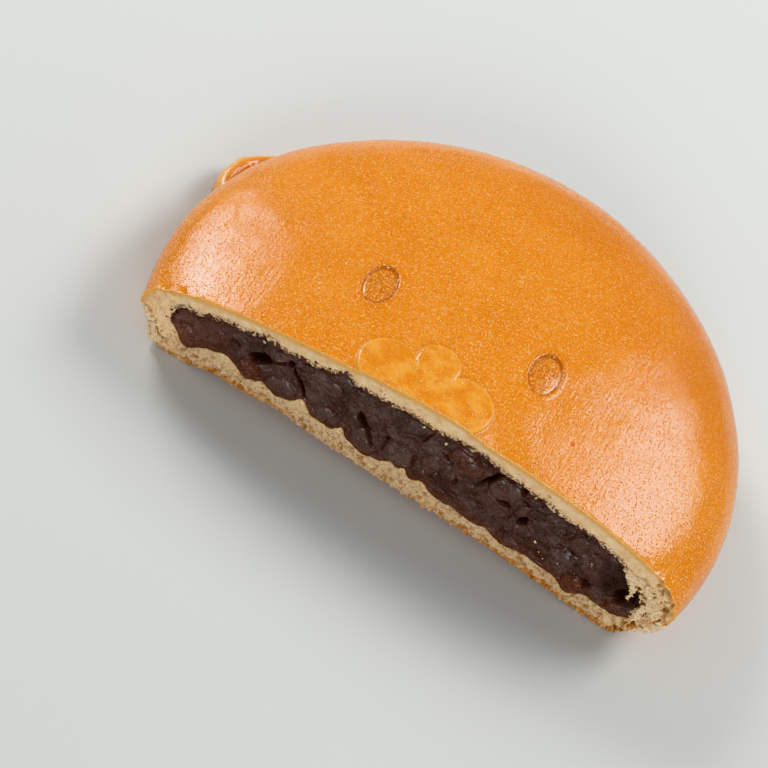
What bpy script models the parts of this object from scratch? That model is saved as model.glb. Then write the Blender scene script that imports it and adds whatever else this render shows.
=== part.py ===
"""Half of a red bean bun, as cut: a baked bread shell round a filling of dark sweet bean paste.

Frame: metres, +Z up. The part rests on z = 0. The bun's upright axis is x = y = 0. X runs along
the cut and Y points away from it, into the bread. The knife passed a little in front of the axis,
so the piece is somewhat more than half of the bun.
"""
import math
import random

import bmesh
import bpy
from mathutils import Vector, noise
from mathutils.geometry import delaunay_2d_cdt

MM = 0.001

# Whole bun
BUN_RADIUS = 55.0 * MM
CUT_Y = -17.5 * MM
CROWN_HEIGHT = 26.1 * MM
CROWN_LEAN = 0.096          # rise of the crown for each unit of x: the right side stands higher
CROWN_ROUNDNESS = 2.57

# Values that change round the bun, at equal steps of turn from +X, by the back, to -X
PLAN_SHARES = (1.005, 1.003, 1.015, 0.987, 0.995)
EDGE_HEIGHTS = (10.8 * MM, 7.6 * MM, 9.5 * MM)
CROWN_FULLNESS = (1.5, 3.46, 2.69)
FOOT_FULLNESS = (3.2, 3.5, 5.0)
# In front of the axis, one side's values change over to the other's by way of the back's
CHANGEOVER_DEPTH = 12.0 * MM
CHANGEOVER_HALF_LENGTH = 30.0 * MM
CHANGEOVER_FADE = 20.0 * MM
CAP_REACH = 0.86            # share of the radius where the crown's cap meets the shoulder's rings
FLAT_REACH = 0.80           # share of the radius that is flat underneath

# The base stands a little clear of the table along the middle of the cut
LIFT = 2.3 * MM
LIFT_HALF_LENGTH = 42.0 * MM
LIFT_SLOPE_LENGTH = 9.0 * MM
LIFT_DEPTH = 13.5 * MM

# Ornament on the crown: two pressed ovals, and a raised patch of three lobes that the cut crosses
ORNAMENT_X = -3.4 * MM
PRESS_DEPTH = 0.45 * MM
PATCH_HEIGHT = 0.45 * MM
WALL = 0.4 * MM             # plan width of the slope at the ornament's edges
OVAL_SPREAD = 15.8 * MM
OVAL_Y = 1.2 * MM
OVAL_HALF_WIDTH = 2.9 * MM
OVAL_HALF_LENGTH = 4.7 * MM
SIDE_LOBE_RADIUS = 5.3 * MM
SIDE_LOBE_SPREAD = 7.0 * MM
SIDE_LOBE_Y = -13.6 * MM
TOP_LOBE_RADIUS = 4.1 * MM
TOP_LOBE_Y = -8.9 * MM
PATCH_HEART_RADIUS = 5.5 * MM
PATCH_HEART_Y = -14.8 * MM
PATCH_CENTRE_Y = -12.1 * MM

# Small round lugs of dough at the foot, each with a dimple in its top
LUG_SPREAD = 43.8 * MM
LUG_Y = 19.5 * MM
LUG_RADIUS = 11.9 * MM
LUG_FLOOR = 0.4 * MM
LUG_HEIGHT = 5.4 * MM
LUG_EDGE = 2.2 * MM
LUG_DIMPLE = 1.5 * MM
LUG_DIMPLE_RADIUS = 9.0 * MM
LUG_DIMPLE_SLOPE = 0.5      # share of the dimple's radius that slopes
LUG_SECTORS = 40
LUG_EDGE_STEPS = 8
LUG_DIMPLE_STEPS = 5

# Filling
FILLING_SHARE = 0.902       # its plan radius as a share of the bun's
FILLING_HEIGHT = 23.6 * MM
FILLING_FULLNESS = 1.2
FILLING_ROUNDNESS = 3.3
FILLING_EDGE_HEIGHTS = (6.9 * MM, 8.0 * MM, 9.1 * MM)
FILLING_FLOOR = 6.2 * MM
FILLING_FLOOR_LEAN = -0.03
FILLING_FOOT_FULLNESS = 6.0
FILLING_CAP_REACH = 0.84
GAP = 0.3 * MM              # between the bread and the filling
# Swells of the filling at the cut: place along the cut, rise, half width
SWELLS_ABOVE = ((-34.0, 0.7, 4.0), (-26.0, -0.8, 3.0), (-5.0, -0.8, 4.5), (10.4, 1.2, 4.5))
SWELLS_BELOW = ((-42.5, -2.4, 3.2), (-35.2, 1.8, 2.2), (-20.4, 2.2, 1.9), (-6.6, -1.0, 2.8),
                (8.1, 2.3, 2.8), (21.2, -0.8, 2.2), (34.7, -1.6, 2.8))
SWELL_DEPTH = 9.0 * MM

# Relief of the cut face
CRUMB_ROUGHNESS = 0.35 * MM
TORN_ROUGHNESS = 1.1 * MM
CRUMB_GRAIN = 2.4 * MM
TORN_FROM = 46.0 * MM       # the crumb is torn beyond this distance from the axis
RAGGED_EDGE = 0.8 * MM
RAGGED_GRAIN = 1.5 * MM
PASTE_ROUGHNESS = 0.4 * MM
PASTE_MARGIN = 1.0 * MM     # the paste keeps to the crumb's relief this close to its edge
# Whole beans and skins that show in the paste: x, z, half length, half width, tilt in degrees, how proud
BEANS = ((-1.5, 10.8, 3.7, 2.7, 78, 1.1), (8.4, 18.6, 3.3, 2.5, 60, 1.2), (17.2, 16.8, 5.0, 3.3, 30, 1.2),
         (34.2, 7.0, 2.8, 2.1, 10, 0.8), (-20.5, 12.0, 2.8, 2.2, 40, 0.8), (-30.5, 12.6, 3.4, 2.6, 20, 0.9))
BEAN_HALF_LENGTH = (2.4 * MM, 3.8 * MM)
BEAN_SLENDERNESS = 0.72
BEAN_SPACING = 0.75         # of the sum of two half lengths
BEAN_PROUD = (0.5 * MM, 1.0 * MM)
MORE_BEANS = 24
BEAN_DRAWS = 4000
BEAN_SEED = 11
# Hollows in the paste: x, z, half length, half width, tilt, how deep
HOLLOWS = ((-27.3, 9.4, 2.6, 1.3, -25, 2.2), (-21.4, 12.6, 2.9, 0.9, -52, 1.2),
           (-9.0, 13.1, 1.8, 0.7, -30, 1.4))

# Fineness of the meshes
SECTORS = 64
CRUST_RINGS = (8, 5)        # over the widest line and under it
FILLING_RINGS = (5, 4)
FOOT_RING_GROWTH = 1.4
OVAL_POINTS = 22
PATCH_POINTS = 64
BISECTIONS = 40
CUT_STEP = 1.5 * MM
CROWN_STEP = 3.2 * MM
HIDDEN_STEP = 5.5 * MM
ROW_GROWTH = 1.35
ROW_SPACING = 0.9           # of the step between points in a row
CLEARANCE = 0.45            # of the step, between a free point and the lines
CRUMB_STEP = 1.25 * MM
PASTE_STEP = 1.25 * MM
CDT_LIMIT = 1e-7
WHOLE_HULL = 0              # the triangulation's two kinds of output that are used
INSIDE_ONLY = 1
WELD = 0.002 * MM
SHARP_ANGLE = math.radians(45)
CRUMB = 1                   # material of the crumb, after the crust
SLIVER = 0.15 * MM          # shorter edges are closed up where the lugs meet the side


def smooth(value):
    """Runs from 0 to 1 without a corner at either end."""
    value = min(max(value, 0.0), 1.0)
    return value * value * (3.0 - 2.0 * value)


def round_the_bun(values, x, y):
    """A value read from a list that runs from +X, by the back, to -X."""
    behind = max(y, 0.0)
    near_axis = smooth(1.0 - abs(x) / CHANGEOVER_HALF_LENGTH) * smooth(1.0 - behind / CHANGEOVER_FADE)
    turn = math.atan2(behind + CHANGEOVER_DEPTH * near_axis, x) / math.pi * (len(values) - 1)
    step = min(int(turn), len(values) - 2)
    share = smooth(turn - step)
    return values[step] * (1.0 - share) + values[step + 1] * share


def bell(x, place, rise, half_width):
    """A smooth swell along the cut."""
    return rise * math.exp(-((x - place) / half_width) ** 2)


def ornament_height(x, y):
    """How far the ornament stands above the crown at a point of the plan."""
    return PATCH_HEIGHT * smooth(inside_patch(x, y) / WALL) - PRESS_DEPTH * smooth(inside_oval(x, y) / WALL)


def inside_oval(x, y):
    """Distance inside the nearer oval, negative outside it."""
    across = (abs(x - ORNAMENT_X) - OVAL_SPREAD) / OVAL_HALF_WIDTH
    along = (y - OVAL_Y) / OVAL_HALF_LENGTH
    return (1.0 - math.hypot(across, along)) * OVAL_HALF_WIDTH


def inside_patch(x, y):
    """Distance inside the lobed patch, negative outside it."""
    across = abs(x - ORNAMENT_X)
    return max(SIDE_LOBE_RADIUS - math.hypot(across - SIDE_LOBE_SPREAD, y - SIDE_LOBE_Y),
               TOP_LOBE_RADIUS - math.hypot(across, y - TOP_LOBE_Y),
               PATCH_HEART_RADIUS - math.hypot(across, y - PATCH_HEART_Y))


class Crust:
    """Outer form of the bun."""
    cap_reach = CAP_REACH
    flat_reach = FLAT_REACH

    def radius(self, x, y):
        return BUN_RADIUS * round_the_bun(PLAN_SHARES, x, y)

    def reach(self, x, y):
        return math.hypot(x, y) / self.radius(x, y)

    def top(self, x, y):
        edge = round_the_bun(EDGE_HEIGHTS, x, y)
        fullness = round_the_bun(CROWN_FULLNESS, x, y)
        crown = CROWN_HEIGHT + CROWN_LEAN * x
        fall = max(1.0 - self.reach(x, y) ** fullness, 0.0) ** (1.0 / CROWN_ROUNDNESS)
        return edge + (crown - edge) * fall + ornament_height(x, y)

    def bottom(self, x, y):
        edge = round_the_bun(EDGE_HEIGHTS, x, y)
        rise = min(max((self.reach(x, y) - FLAT_REACH) / (1.0 - FLAT_REACH), 0.0), 1.0)
        middle = smooth((LIFT_HALF_LENGTH - abs(x)) / LIFT_SLOPE_LENGTH)
        near_cut = smooth(1.0 - (y - CUT_Y) / LIFT_DEPTH)
        fullness = round_the_bun(FOOT_FULLNESS, x, y)
        return edge * rise ** fullness + LIFT * middle * near_cut * (1.0 - rise)


class Filling:
    """Outer form of the filling, grown on all sides for the hollow that it lies in."""
    cap_reach = FILLING_CAP_REACH
    flat_reach = FILLING_CAP_REACH

    def __init__(self, grown=0.0):
        self.grown = grown

    def radius(self, x, y):
        return BUN_RADIUS * FILLING_SHARE * round_the_bun(PLAN_SHARES, x, y) + self.grown

    def reach(self, x, y):
        return math.hypot(x, y) / self.radius(x, y)

    def swells(self, swells, x, y):
        near_cut = smooth(1.0 - (y - CUT_Y) / SWELL_DEPTH)
        return near_cut * MM * sum(bell(x / MM, *swell) for swell in swells)

    def top(self, x, y):
        edge = round_the_bun(FILLING_EDGE_HEIGHTS, x, y)
        height = FILLING_HEIGHT + CROWN_LEAN * x + self.grown + self.swells(SWELLS_ABOVE, x, y)
        fall = max(1.0 - self.reach(x, y) ** FILLING_FULLNESS, 0.0) ** (1.0 / FILLING_ROUNDNESS)
        return edge + (height - edge) * fall

    def bottom(self, x, y):
        edge = round_the_bun(FILLING_EDGE_HEIGHTS, x, y)
        rise = min(max((self.reach(x, y) - self.flat_reach) / (1.0 - self.flat_reach), 0.0), 1.0)
        floor = FILLING_FLOOR + FILLING_FLOOR_LEAN * x - self.grown + self.swells(SWELLS_BELOW, x, y)
        return floor + (edge - floor) * rise ** FILLING_FOOT_FULLNESS


def ring(form, reach):
    """Plan points at one share of the radius, from the cut's right end by the back to its left end."""
    right = math.asin(CUT_Y / (reach * form.radius(1.0, CUT_Y)))
    left = math.pi - math.asin(CUT_Y / (reach * form.radius(-1.0, CUT_Y)))
    points = []
    for step in range(SECTORS + 1):
        turn = right + (left - right) * step / SECTORS
        radius = reach * form.radius(math.cos(turn), math.sin(turn))
        points.append((radius * math.cos(turn), radius * math.sin(turn)))
    points[0] = (points[0][0], CUT_Y)
    points[-1] = (points[-1][0], CUT_Y)
    return points


def shoulder_reaches(first, count):
    """Shares of the radius from first to 1, closer together towards the steep side."""
    start = math.asin(first)
    return [math.sin(start + (math.pi / 2 - start) * step / count) for step in range(count + 1)]


def add_rings(mesh, form, height, reaches):
    """Strips of quads between rings that follow each other outwards."""
    rows = []
    for reach in reaches:
        rows.append([mesh.verts.new((x, y, height(x, y))) for x, y in ring(form, reach)])
    for inner, outer in zip(rows, rows[1:]):
        for step in range(SECTORS):
            mesh.faces.new((inner[step], outer[step], outer[step + 1], inner[step + 1]))


def trace(inside, centre, level, count):
    """Outline of an ornament in the plan, as far inside its edge as level, from its lowest y round."""
    points = []
    for step in range(count):
        turn = math.tau * step / count - math.pi / 2
        near = 0.0
        far = 2.0 * OVAL_SPREAD
        for _ in range(BISECTIONS):
            middle = (near + far) / 2.0
            if inside(centre[0] + middle * math.cos(turn), centre[1] + middle * math.sin(turn)) > level:
                near = middle
            else:
                far = middle
        points.append((centre[0] + near * math.cos(turn), centre[1] + near * math.sin(turn)))
    return points


def crossing(level, side):
    """Place on the cut where the patch's outline meets it, to the left or right of the ornament."""
    near = SIDE_LOBE_SPREAD
    far = SIDE_LOBE_SPREAD + 2.0 * SIDE_LOBE_RADIUS
    for _ in range(BISECTIONS):
        middle = (near + far) / 2.0
        if inside_patch(ORNAMENT_X + side * middle, CUT_Y) > level:
            near = middle
        else:
            far = middle
    return ORNAMENT_X + side * near


def ornament_lines():
    """Edges of the ornament in the plan: closed lines for the ovals, open ones for the cut patch."""
    closed = []
    opened = []
    for level in (0.0, WALL):
        for side in (-1, 1):
            centre = (ORNAMENT_X + side * OVAL_SPREAD, OVAL_Y)
            closed.append(trace(inside_oval, centre, level, OVAL_POINTS))
        line = trace(inside_patch, (ORNAMENT_X, PATCH_CENTRE_Y), level, PATCH_POINTS)
        line = [point for point in line if point[1] > CUT_Y + WALL]
        opened.append([(crossing(level, 1), CUT_Y)] + line + [(crossing(level, -1), CUT_Y)])
    return closed, opened


def clear_of(point, others, distance):
    return all(math.dist(point, other) > distance for other in others)


def add_cap(mesh, form, height, reach, coarse, closed=(), opened=()):
    """The part of a surface inside one ring, finest along the cut and along the given lines."""
    edge = ring(form, reach)
    crossings = [point[0] for line in opened for point in (line[0], line[-1])]
    count = round((edge[0][0] - edge[-1][0]) / CUT_STEP)
    along_cut = []
    for step in range(1, count):
        x = edge[-1][0] + (edge[0][0] - edge[-1][0]) * step / count
        if all(abs(x - other) > CLEARANCE * CUT_STEP for other in crossings):
            along_cut.append(x)
    along_cut = sorted(along_cut + crossings)
    points = edge + [(x, CUT_Y) for x in along_cut]
    rim = len(points)
    lines = [(index, (index + 1) % rim) for index in range(rim)]
    for line in closed:
        first = len(points)
        points += line
        lines += [(first + index, first + (index + 1) % len(line)) for index in range(len(line))]
    for line in opened:
        first = len(points)
        points += line[1:-1]
        chain = [points.index(line[0])] + list(range(first, len(points))) + [points.index(line[-1])]
        lines += list(zip(chain, chain[1:]))
    fixed = list(points)
    step = CUT_STEP
    y = CUT_Y + step
    row = 0
    while y < BUN_RADIUS:
        x = -BUN_RADIUS + (row % 2) * step / 2.0
        while x < BUN_RADIUS:
            inner = form.reach(x, y) < reach - CLEARANCE * step / BUN_RADIUS
            if inner and clear_of((x, y), fixed, CLEARANCE * step):
                points.append((x, y))
            x += step
        step = min(step * ROW_GROWTH, coarse)
        y += step * ROW_SPACING
        row += 1
    flat = [Vector(point) for point in points]
    verts, _, faces, _, _, _ = delaunay_2d_cdt(flat, lines, [list(range(rim))], INSIDE_ONLY, CDT_LIMIT)
    placed = [mesh.verts.new((x, y, height(x, y))) for x, y in verts]
    for face in faces:
        mesh.faces.new([placed[index] for index in face])


def foot_reaches(last, count):
    """Shares of the radius from last to 1, closer together towards the widest line."""
    return [1.0 - (1.0 - last) * (step / count) ** FOOT_RING_GROWTH for step in range(count, -1, -1)]


def add_skin(mesh, form, rings, coarse, closed=(), opened=()):
    """Top and underside of a form, open along the cut."""
    add_cap(mesh, form, form.top, form.cap_reach, coarse, closed, opened)
    add_rings(mesh, form, form.top, shoulder_reaches(form.cap_reach, rings[0]))
    add_rings(mesh, form, form.bottom, foot_reaches(form.flat_reach, rings[1]))
    add_cap(mesh, form, form.bottom, form.flat_reach, coarse)
    bmesh.ops.remove_doubles(mesh, verts=mesh.verts, dist=WELD)


def crossings_right(x, z, walls):
    """True where a line to the right of a point of the cut crosses the walls an odd number of times."""
    odd = False
    for (x1, z1), (x2, z2) in walls:
        if (z1 > z) != (z2 > z) and x < x1 + (z - z1) / (z2 - z1) * (x2 - x1):
            odd = not odd
    return odd


def add_cut_face(mesh, step):
    """Closes the open edge at the cut with a net of small triangles in its plane."""
    open_edges = [edge for edge in mesh.edges if edge.is_boundary]
    rim = list({vert for edge in open_edges for vert in edge.verts})
    rim.sort(key=lambda vert: (vert.co.x, vert.co.z))
    place = {vert: index for index, vert in enumerate(rim)}
    points = [(vert.co.x, vert.co.z) for vert in rim]
    lines = [(place[edge.verts[0]], place[edge.verts[1]]) for edge in open_edges]
    walls = [(points[first], points[second]) for first, second in lines]
    fixed = list(points)
    left = points[0][0]
    right = points[-1][0]
    z = min(point[1] for point in points)
    high = max(point[1] for point in points)
    row = 0
    while z < high:
        x = left + (row % 2) * step / 2.0
        while x < right:
            if crossings_right(x, z, walls) and clear_of((x, z), fixed, CLEARANCE * step):
                points.append((x, z))
            x += step
        z += step * ROW_SPACING
        row += 1
    flat = [Vector(point) for point in points]
    verts, _, faces, origins, _, _ = delaunay_2d_cdt(flat, lines, [], WHOLE_HULL, CDT_LIMIT)
    placed = []
    for (x, z), origin in zip(verts, origins):
        if origin and origin[0] < len(rim):
            placed.append(rim[origin[0]])
        else:
            placed.append(mesh.verts.new((x, CUT_Y, z)))
    added = []
    for face in faces:
        middle = sum((verts[index] for index in face), Vector((0.0, 0.0))) / len(face)
        if crossings_right(middle.x, middle.y, walls):
            added.append(mesh.faces.new([placed[index] for index in face]))
    return added


def lug_profile():
    """Half outline of a lug: flat below, round at its edge, with a dimple in its top."""
    profile = [(LUG_RADIUS - LUG_EDGE, LUG_FLOOR)]
    middle = (LUG_HEIGHT + LUG_FLOOR) / 2.0
    half = (LUG_HEIGHT - LUG_FLOOR) / 2.0
    for step in range(1, LUG_EDGE_STEPS):
        turn = math.pi * (step / LUG_EDGE_STEPS - 0.5)
        profile.append((LUG_RADIUS - LUG_EDGE * (1.0 - math.cos(turn)), middle + half * math.sin(turn)))
    for step in range(LUG_DIMPLE_STEPS):
        inward = step / LUG_DIMPLE_STEPS
        depth = LUG_DIMPLE * smooth(inward / LUG_DIMPLE_SLOPE)
        profile.append((LUG_DIMPLE_RADIUS * (1.0 - inward), LUG_HEIGHT - depth))
    return profile


def make_lug(side):
    """A turned body; its inner part lies in the bun's side."""
    mesh = bmesh.new()
    rows = []
    for radius, z in lug_profile():
        row = []
        for step in range(LUG_SECTORS):
            turn = math.tau * step / LUG_SECTORS
            place = (side * LUG_SPREAD + radius * math.cos(turn), LUG_Y + radius * math.sin(turn), z)
            row.append(mesh.verts.new(place))
        rows.append(row)
    for lower, upper in zip(rows, rows[1:]):
        for step in range(LUG_SECTORS):
            after = (step + 1) % LUG_SECTORS
            mesh.faces.new((lower[step], lower[after], upper[after], upper[step]))
    mesh.faces.new(rows[0])
    mesh.faces.new(rows[-1])
    return as_object(mesh, "lug")


def as_object(mesh, name):
    bmesh.ops.recalc_face_normals(mesh, faces=mesh.faces)
    data = bpy.data.meshes.new(name)
    mesh.to_mesh(data)
    mesh.free()
    made = bpy.data.objects.new(name, data)
    bpy.context.scene.collection.objects.link(made)
    return made


def crumb_relief(x, z):
    """How far the crumb stands into the bread from the plane of the cut."""
    torn = smooth((abs(x) - TORN_FROM) / (BUN_RADIUS - TORN_FROM))
    size = CRUMB_ROUGHNESS + (TORN_ROUGHNESS - CRUMB_ROUGHNESS) * torn
    return size * noise.noise(Vector((x, z, 0.4)) / CRUMB_GRAIN)


def bump(x, z, place_x, place_z, half_length, half_width, tilt, height):
    """A low dome on an ellipse."""
    turn = math.radians(tilt)
    along = ((x - place_x) * math.cos(turn) + (z - place_z) * math.sin(turn)) / half_length
    across = ((z - place_z) * math.cos(turn) - (x - place_x) * math.sin(turn)) / half_width
    return height * max(1.0 - along * along - across * across, 0.0)


def scaled(feature):
    """A bean or a hollow in metres: place, half sizes, tilt in degrees, height."""
    x, z, half_length, half_width, tilt, height = feature
    return x * MM, z * MM, half_length * MM, half_width * MM, tilt, height * MM


def bean_places(form):
    """The beans chosen by hand and more of them drawn where they have room."""
    beans = [scaled(bean) for bean in BEANS]
    draw = random.Random(BEAN_SEED)
    reach = form.radius(1.0, CUT_Y)
    for _ in range(BEAN_DRAWS):
        x = draw.uniform(-reach, reach)
        z = draw.uniform(0.0, FILLING_HEIGHT)
        length = draw.uniform(*BEAN_HALF_LENGTH)
        tilt = draw.uniform(0.0, 180.0)
        proud = draw.uniform(*BEAN_PROUD)
        width = length * BEAN_SLENDERNESS
        inside = form.bottom(x, CUT_Y) + width < z < form.top(x, CUT_Y) - width
        free = all(math.dist((x, z), bean[:2]) > BEAN_SPACING * (length + bean[2]) for bean in beans)
        if inside and free and len(beans) < len(BEANS) + MORE_BEANS:
            beans.append((x, z, length, width, tilt, proud))
    return beans


def paste_relief(x, z, beans, hollows):
    """How far the paste stands out of the bread from the plane of the cut."""
    proud = max((bump(x, z, *bean) for bean in beans), default=0.0)
    sunk = max((bump(x, z, *hollow) for hollow in hollows), default=0.0)
    return proud - sunk + PASTE_ROUGHNESS * noise.noise(Vector((x, z, 1.7)) / CRUMB_GRAIN)


def shape_cut(mesh, relief, rim):
    """Moves the points of the cut face out of its plane, and makes the given rim ragged."""
    for vert in mesh.verts:
        if abs(vert.co.y - CUT_Y) > WELD:
            continue
        x, z = vert.co.x, vert.co.z
        vert.co.y += relief(x, z)
        if vert in rim:
            vert.co.x += RAGGED_EDGE * noise.noise(Vector((x, z, 5.1)) / RAGGED_GRAIN)
            vert.co.z += RAGGED_EDGE * noise.noise(Vector((x, z, 9.3)) / RAGGED_GRAIN)


def ragged_rim(mesh):
    """Corners of the crust's edge at the cut, from the widest line down to where the foot is flat."""
    crust = Crust()
    rim = set()
    for vert in mesh.verts:
        x, y, z = vert.co
        if abs(y - CUT_Y) > WELD:
            continue
        foot = crust.bottom(x, y)
        if abs(z - foot) < WELD and foot > LIFT and crust.reach(x, y) > FILLING_SHARE:
            rim.add(vert)
    return rim


def join(target, tool):
    """Unites two closed bodies, and leaves the result in the first one's mesh."""
    modifier = target.modifiers.new("union", "BOOLEAN")
    modifier.operation = "UNION"
    modifier.object = tool
    evaluated = target.evaluated_get(bpy.context.evaluated_depsgraph_get())
    data = bpy.data.meshes.new_from_object(evaluated)
    target.modifiers.clear()
    target.data = data
    bpy.data.objects.remove(tool)


def make_outside():
    """The closed outer body with its lugs, flat and whole at the cut."""
    closed, opened = ornament_lines()
    mesh = bmesh.new()
    add_skin(mesh, Crust(), CRUST_RINGS, CROWN_STEP, closed, opened)
    add_cut_face(mesh, HIDDEN_STEP)
    outside = as_object(mesh, "bread")
    for side in (-1, 1):
        join(outside, make_lug(side))
    return outside


def add_hollow(mesh):
    """The wall of the hollow that holds the filling, open at the cut."""
    wall = bmesh.new()
    add_skin(wall, Filling(GAP), FILLING_RINGS, HIDDEN_STEP)
    for face in wall.faces:
        face.material_index = CRUMB
    data = bpy.data.meshes.new("hollow")
    wall.to_mesh(data)
    wall.free()
    mesh.from_mesh(data)
    bpy.data.meshes.remove(data)


def close_slivers(mesh):
    """Merges corners that lie very close together, and drops pairs of faces that this lays back to back."""
    bmesh.ops.triangulate(mesh, faces=mesh.faces)
    bmesh.ops.remove_doubles(mesh, verts=mesh.verts, dist=SLIVER)
    on_corners = {}
    for face in mesh.faces:
        on_corners.setdefault(frozenset(face.verts), []).append(face)
    paired = [face for faces in on_corners.values() if len(faces) > 1 for face in faces]
    bmesh.ops.delete(mesh, geom=paired, context="FACES")


def make_bread():
    bread = make_outside()
    mesh = bmesh.new()
    mesh.from_mesh(bread.data)
    stopgap = [face for face in mesh.faces if all(abs(vert.co.y - CUT_Y) < WELD for vert in face.verts)]
    bmesh.ops.delete(mesh, geom=stopgap, context="FACES")
    close_slivers(mesh)
    add_hollow(mesh)
    for face in add_cut_face(mesh, CRUMB_STEP):
        face.material_index = CRUMB
    shape_cut(mesh, crumb_relief, ragged_rim(mesh))
    finish(bread, mesh)
    bread.data.materials.clear()
    bread.data.materials.append(make_material("crust", (0.66, 0.27, 0.065), 0.33))
    bread.data.materials.append(make_material("crumb", (0.83, 0.68, 0.44), 0.85))


def make_filling():
    form = Filling()
    beans = bean_places(form)
    hollows = [scaled(hollow) for hollow in HOLLOWS]

    def relief(x, z):
        inward = min(z - form.bottom(x, CUT_Y), form.top(x, CUT_Y) - z)
        share = smooth(inward / PASTE_MARGIN)
        return crumb_relief(x, z) * (1.0 - share) - paste_relief(x, z, beans, hollows) * share

    mesh = bmesh.new()
    add_skin(mesh, form, FILLING_RINGS, HIDDEN_STEP)
    add_cut_face(mesh, PASTE_STEP)
    shape_cut(mesh, relief, set())
    filling = bpy.data.objects.new("bean_filling", bpy.data.meshes.new("bean_filling"))
    bpy.context.scene.collection.objects.link(filling)
    finish(filling, mesh)
    filling.data.materials.append(make_material("bean_paste", (0.035, 0.012, 0.014), 0.4))


def finish(made, mesh):
    """Gives an object its final mesh, with faces out and smooth shading up to a real edge."""
    bmesh.ops.recalc_face_normals(mesh, faces=mesh.faces)
    for face in mesh.faces:
        face.smooth = True
    mesh.to_mesh(made.data)
    mesh.free()
    made.data.set_sharp_from_angle(angle=SHARP_ANGLE)


def make_material(name, colour, roughness):
    material = bpy.data.materials.new(name)
    material.use_nodes = True
    shader = material.node_tree.nodes["Principled BSDF"]
    shader.inputs["Base Color"].default_value = (*colour, 1.0)
    shader.inputs["Roughness"].default_value = roughness
    shader.inputs["Metallic"].default_value = 0.0
    return material


for old in list(bpy.data.objects):
    bpy.data.objects.remove(old)
make_bread()
make_filling()
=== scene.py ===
"""Looks of half a red bean bun: glossy crust, soft crumb and moist bean paste.

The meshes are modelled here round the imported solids, in millimetres until they are made. The bun
rests on z = 0, X runs along the cut and Y points away from it, into the bread.
"""

import math
import random

import bmesh
import bpy
import numpy as np
from mathutils import Matrix, Vector, kdtree, noise
from mathutils.geometry import delaunay_2d_cdt


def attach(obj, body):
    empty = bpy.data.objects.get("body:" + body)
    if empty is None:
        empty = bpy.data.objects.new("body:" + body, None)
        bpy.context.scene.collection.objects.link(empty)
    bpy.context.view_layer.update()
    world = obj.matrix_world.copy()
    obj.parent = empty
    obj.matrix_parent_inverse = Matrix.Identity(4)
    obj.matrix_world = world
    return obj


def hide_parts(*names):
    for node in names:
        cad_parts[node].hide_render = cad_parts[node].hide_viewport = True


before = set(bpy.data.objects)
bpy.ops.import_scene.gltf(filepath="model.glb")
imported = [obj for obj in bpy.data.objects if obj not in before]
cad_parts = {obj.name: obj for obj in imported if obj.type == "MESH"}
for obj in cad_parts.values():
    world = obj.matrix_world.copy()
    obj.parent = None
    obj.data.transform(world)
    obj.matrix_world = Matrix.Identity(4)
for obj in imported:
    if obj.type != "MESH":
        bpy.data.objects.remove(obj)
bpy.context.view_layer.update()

MM = 0.001

# Form of the bun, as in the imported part
BUN_RADIUS = 55.0
CUT_Y = -17.5
CROWN_HEIGHT = 26.1
CROWN_LEAN = 0.096
DIP = 0.5
DIP_X = 11.5
DIP_WIDTH = 4.5
PLAN_SHARES = (1.005, 1.003, 1.015, 0.987, 0.995)
CROWN_FULLNESS = (1.5, 3.46, 2.69)
FOOT_FULLNESS = (3.2, 3.5, 5.0)
TURN_DEPTH = 12.0
TURN_HALF_LENGTH = 30.0
TURN_FADE = 20.0
LIFT = 2.3
LIFT_LEFT = -43.0
LIFT_LEFT_SLOPE = 9.0
LIFT_RIGHT = 49.0
LIFT_RIGHT_SLOPE = 32.0
LIFT_DEPTH = 13.5
LIFT_SWELL = (-23.0, 1.0, 5.0)
FAR_AWAY = 1000.0

# Ornament on the crown
ORNAMENT_X = -3.4
PATCH_X = -3.85
OVAL_SPREAD = 15.8
OVAL_Y = 1.2
OVAL_HALF_WIDTH = 2.9
OVAL_HALF_LENGTH = 4.7
OVAL_DEPTH = 0.4
OVAL_WALL = 0.3
SIDE_LOBE_RADIUS = 5.4
SIDE_LOBE_SPREAD = 7.0
SIDE_LOBE_Y = -13.35
TOP_LOBE_RADIUS = 4.1
TOP_LOBE_Y = -8.6
PATCH_HEART_RADIUS = 5.5
PATCH_HEART_Y = -14.8
PATCH_HEIGHT = 0.4
PATCH_WALL = 0.5
BLISTER = (21.95, -7.76)
BLISTER_RADIUS = 0.5
BLISTER_HEIGHT = 0.22

# Small lugs at the foot
LUG_SPREAD = 43.9
LUG_Y = 20.3
LUG_RADIUS = 12.1
LUG_FLOOR = 0.4
LUG_HEIGHT = 6.0
LUG_EDGE = 1.9
LUG_DIMPLE = 1.6
LUG_DIMPLE_RADIUS = 10.2
LUG_DIMPLE_SLOPE = 0.3
LUG_SECTORS = 120
LUG_EDGE_STEPS = 20
LUG_DIMPLE_STEPS = 24
LUG_SWAY = 0.3
LUG_SWAY_GRAIN = 3.5
LUG_SWAY_SHIFT = 9.3

# Filling
FILLING_HEIGHT = 23.6
FILLING_FULLNESS = 1.2
FILLING_FLOOR = 6.2
FILLING_FLOOR_LEAN = -0.03
FILLING_FOOT = 6.0
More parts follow.
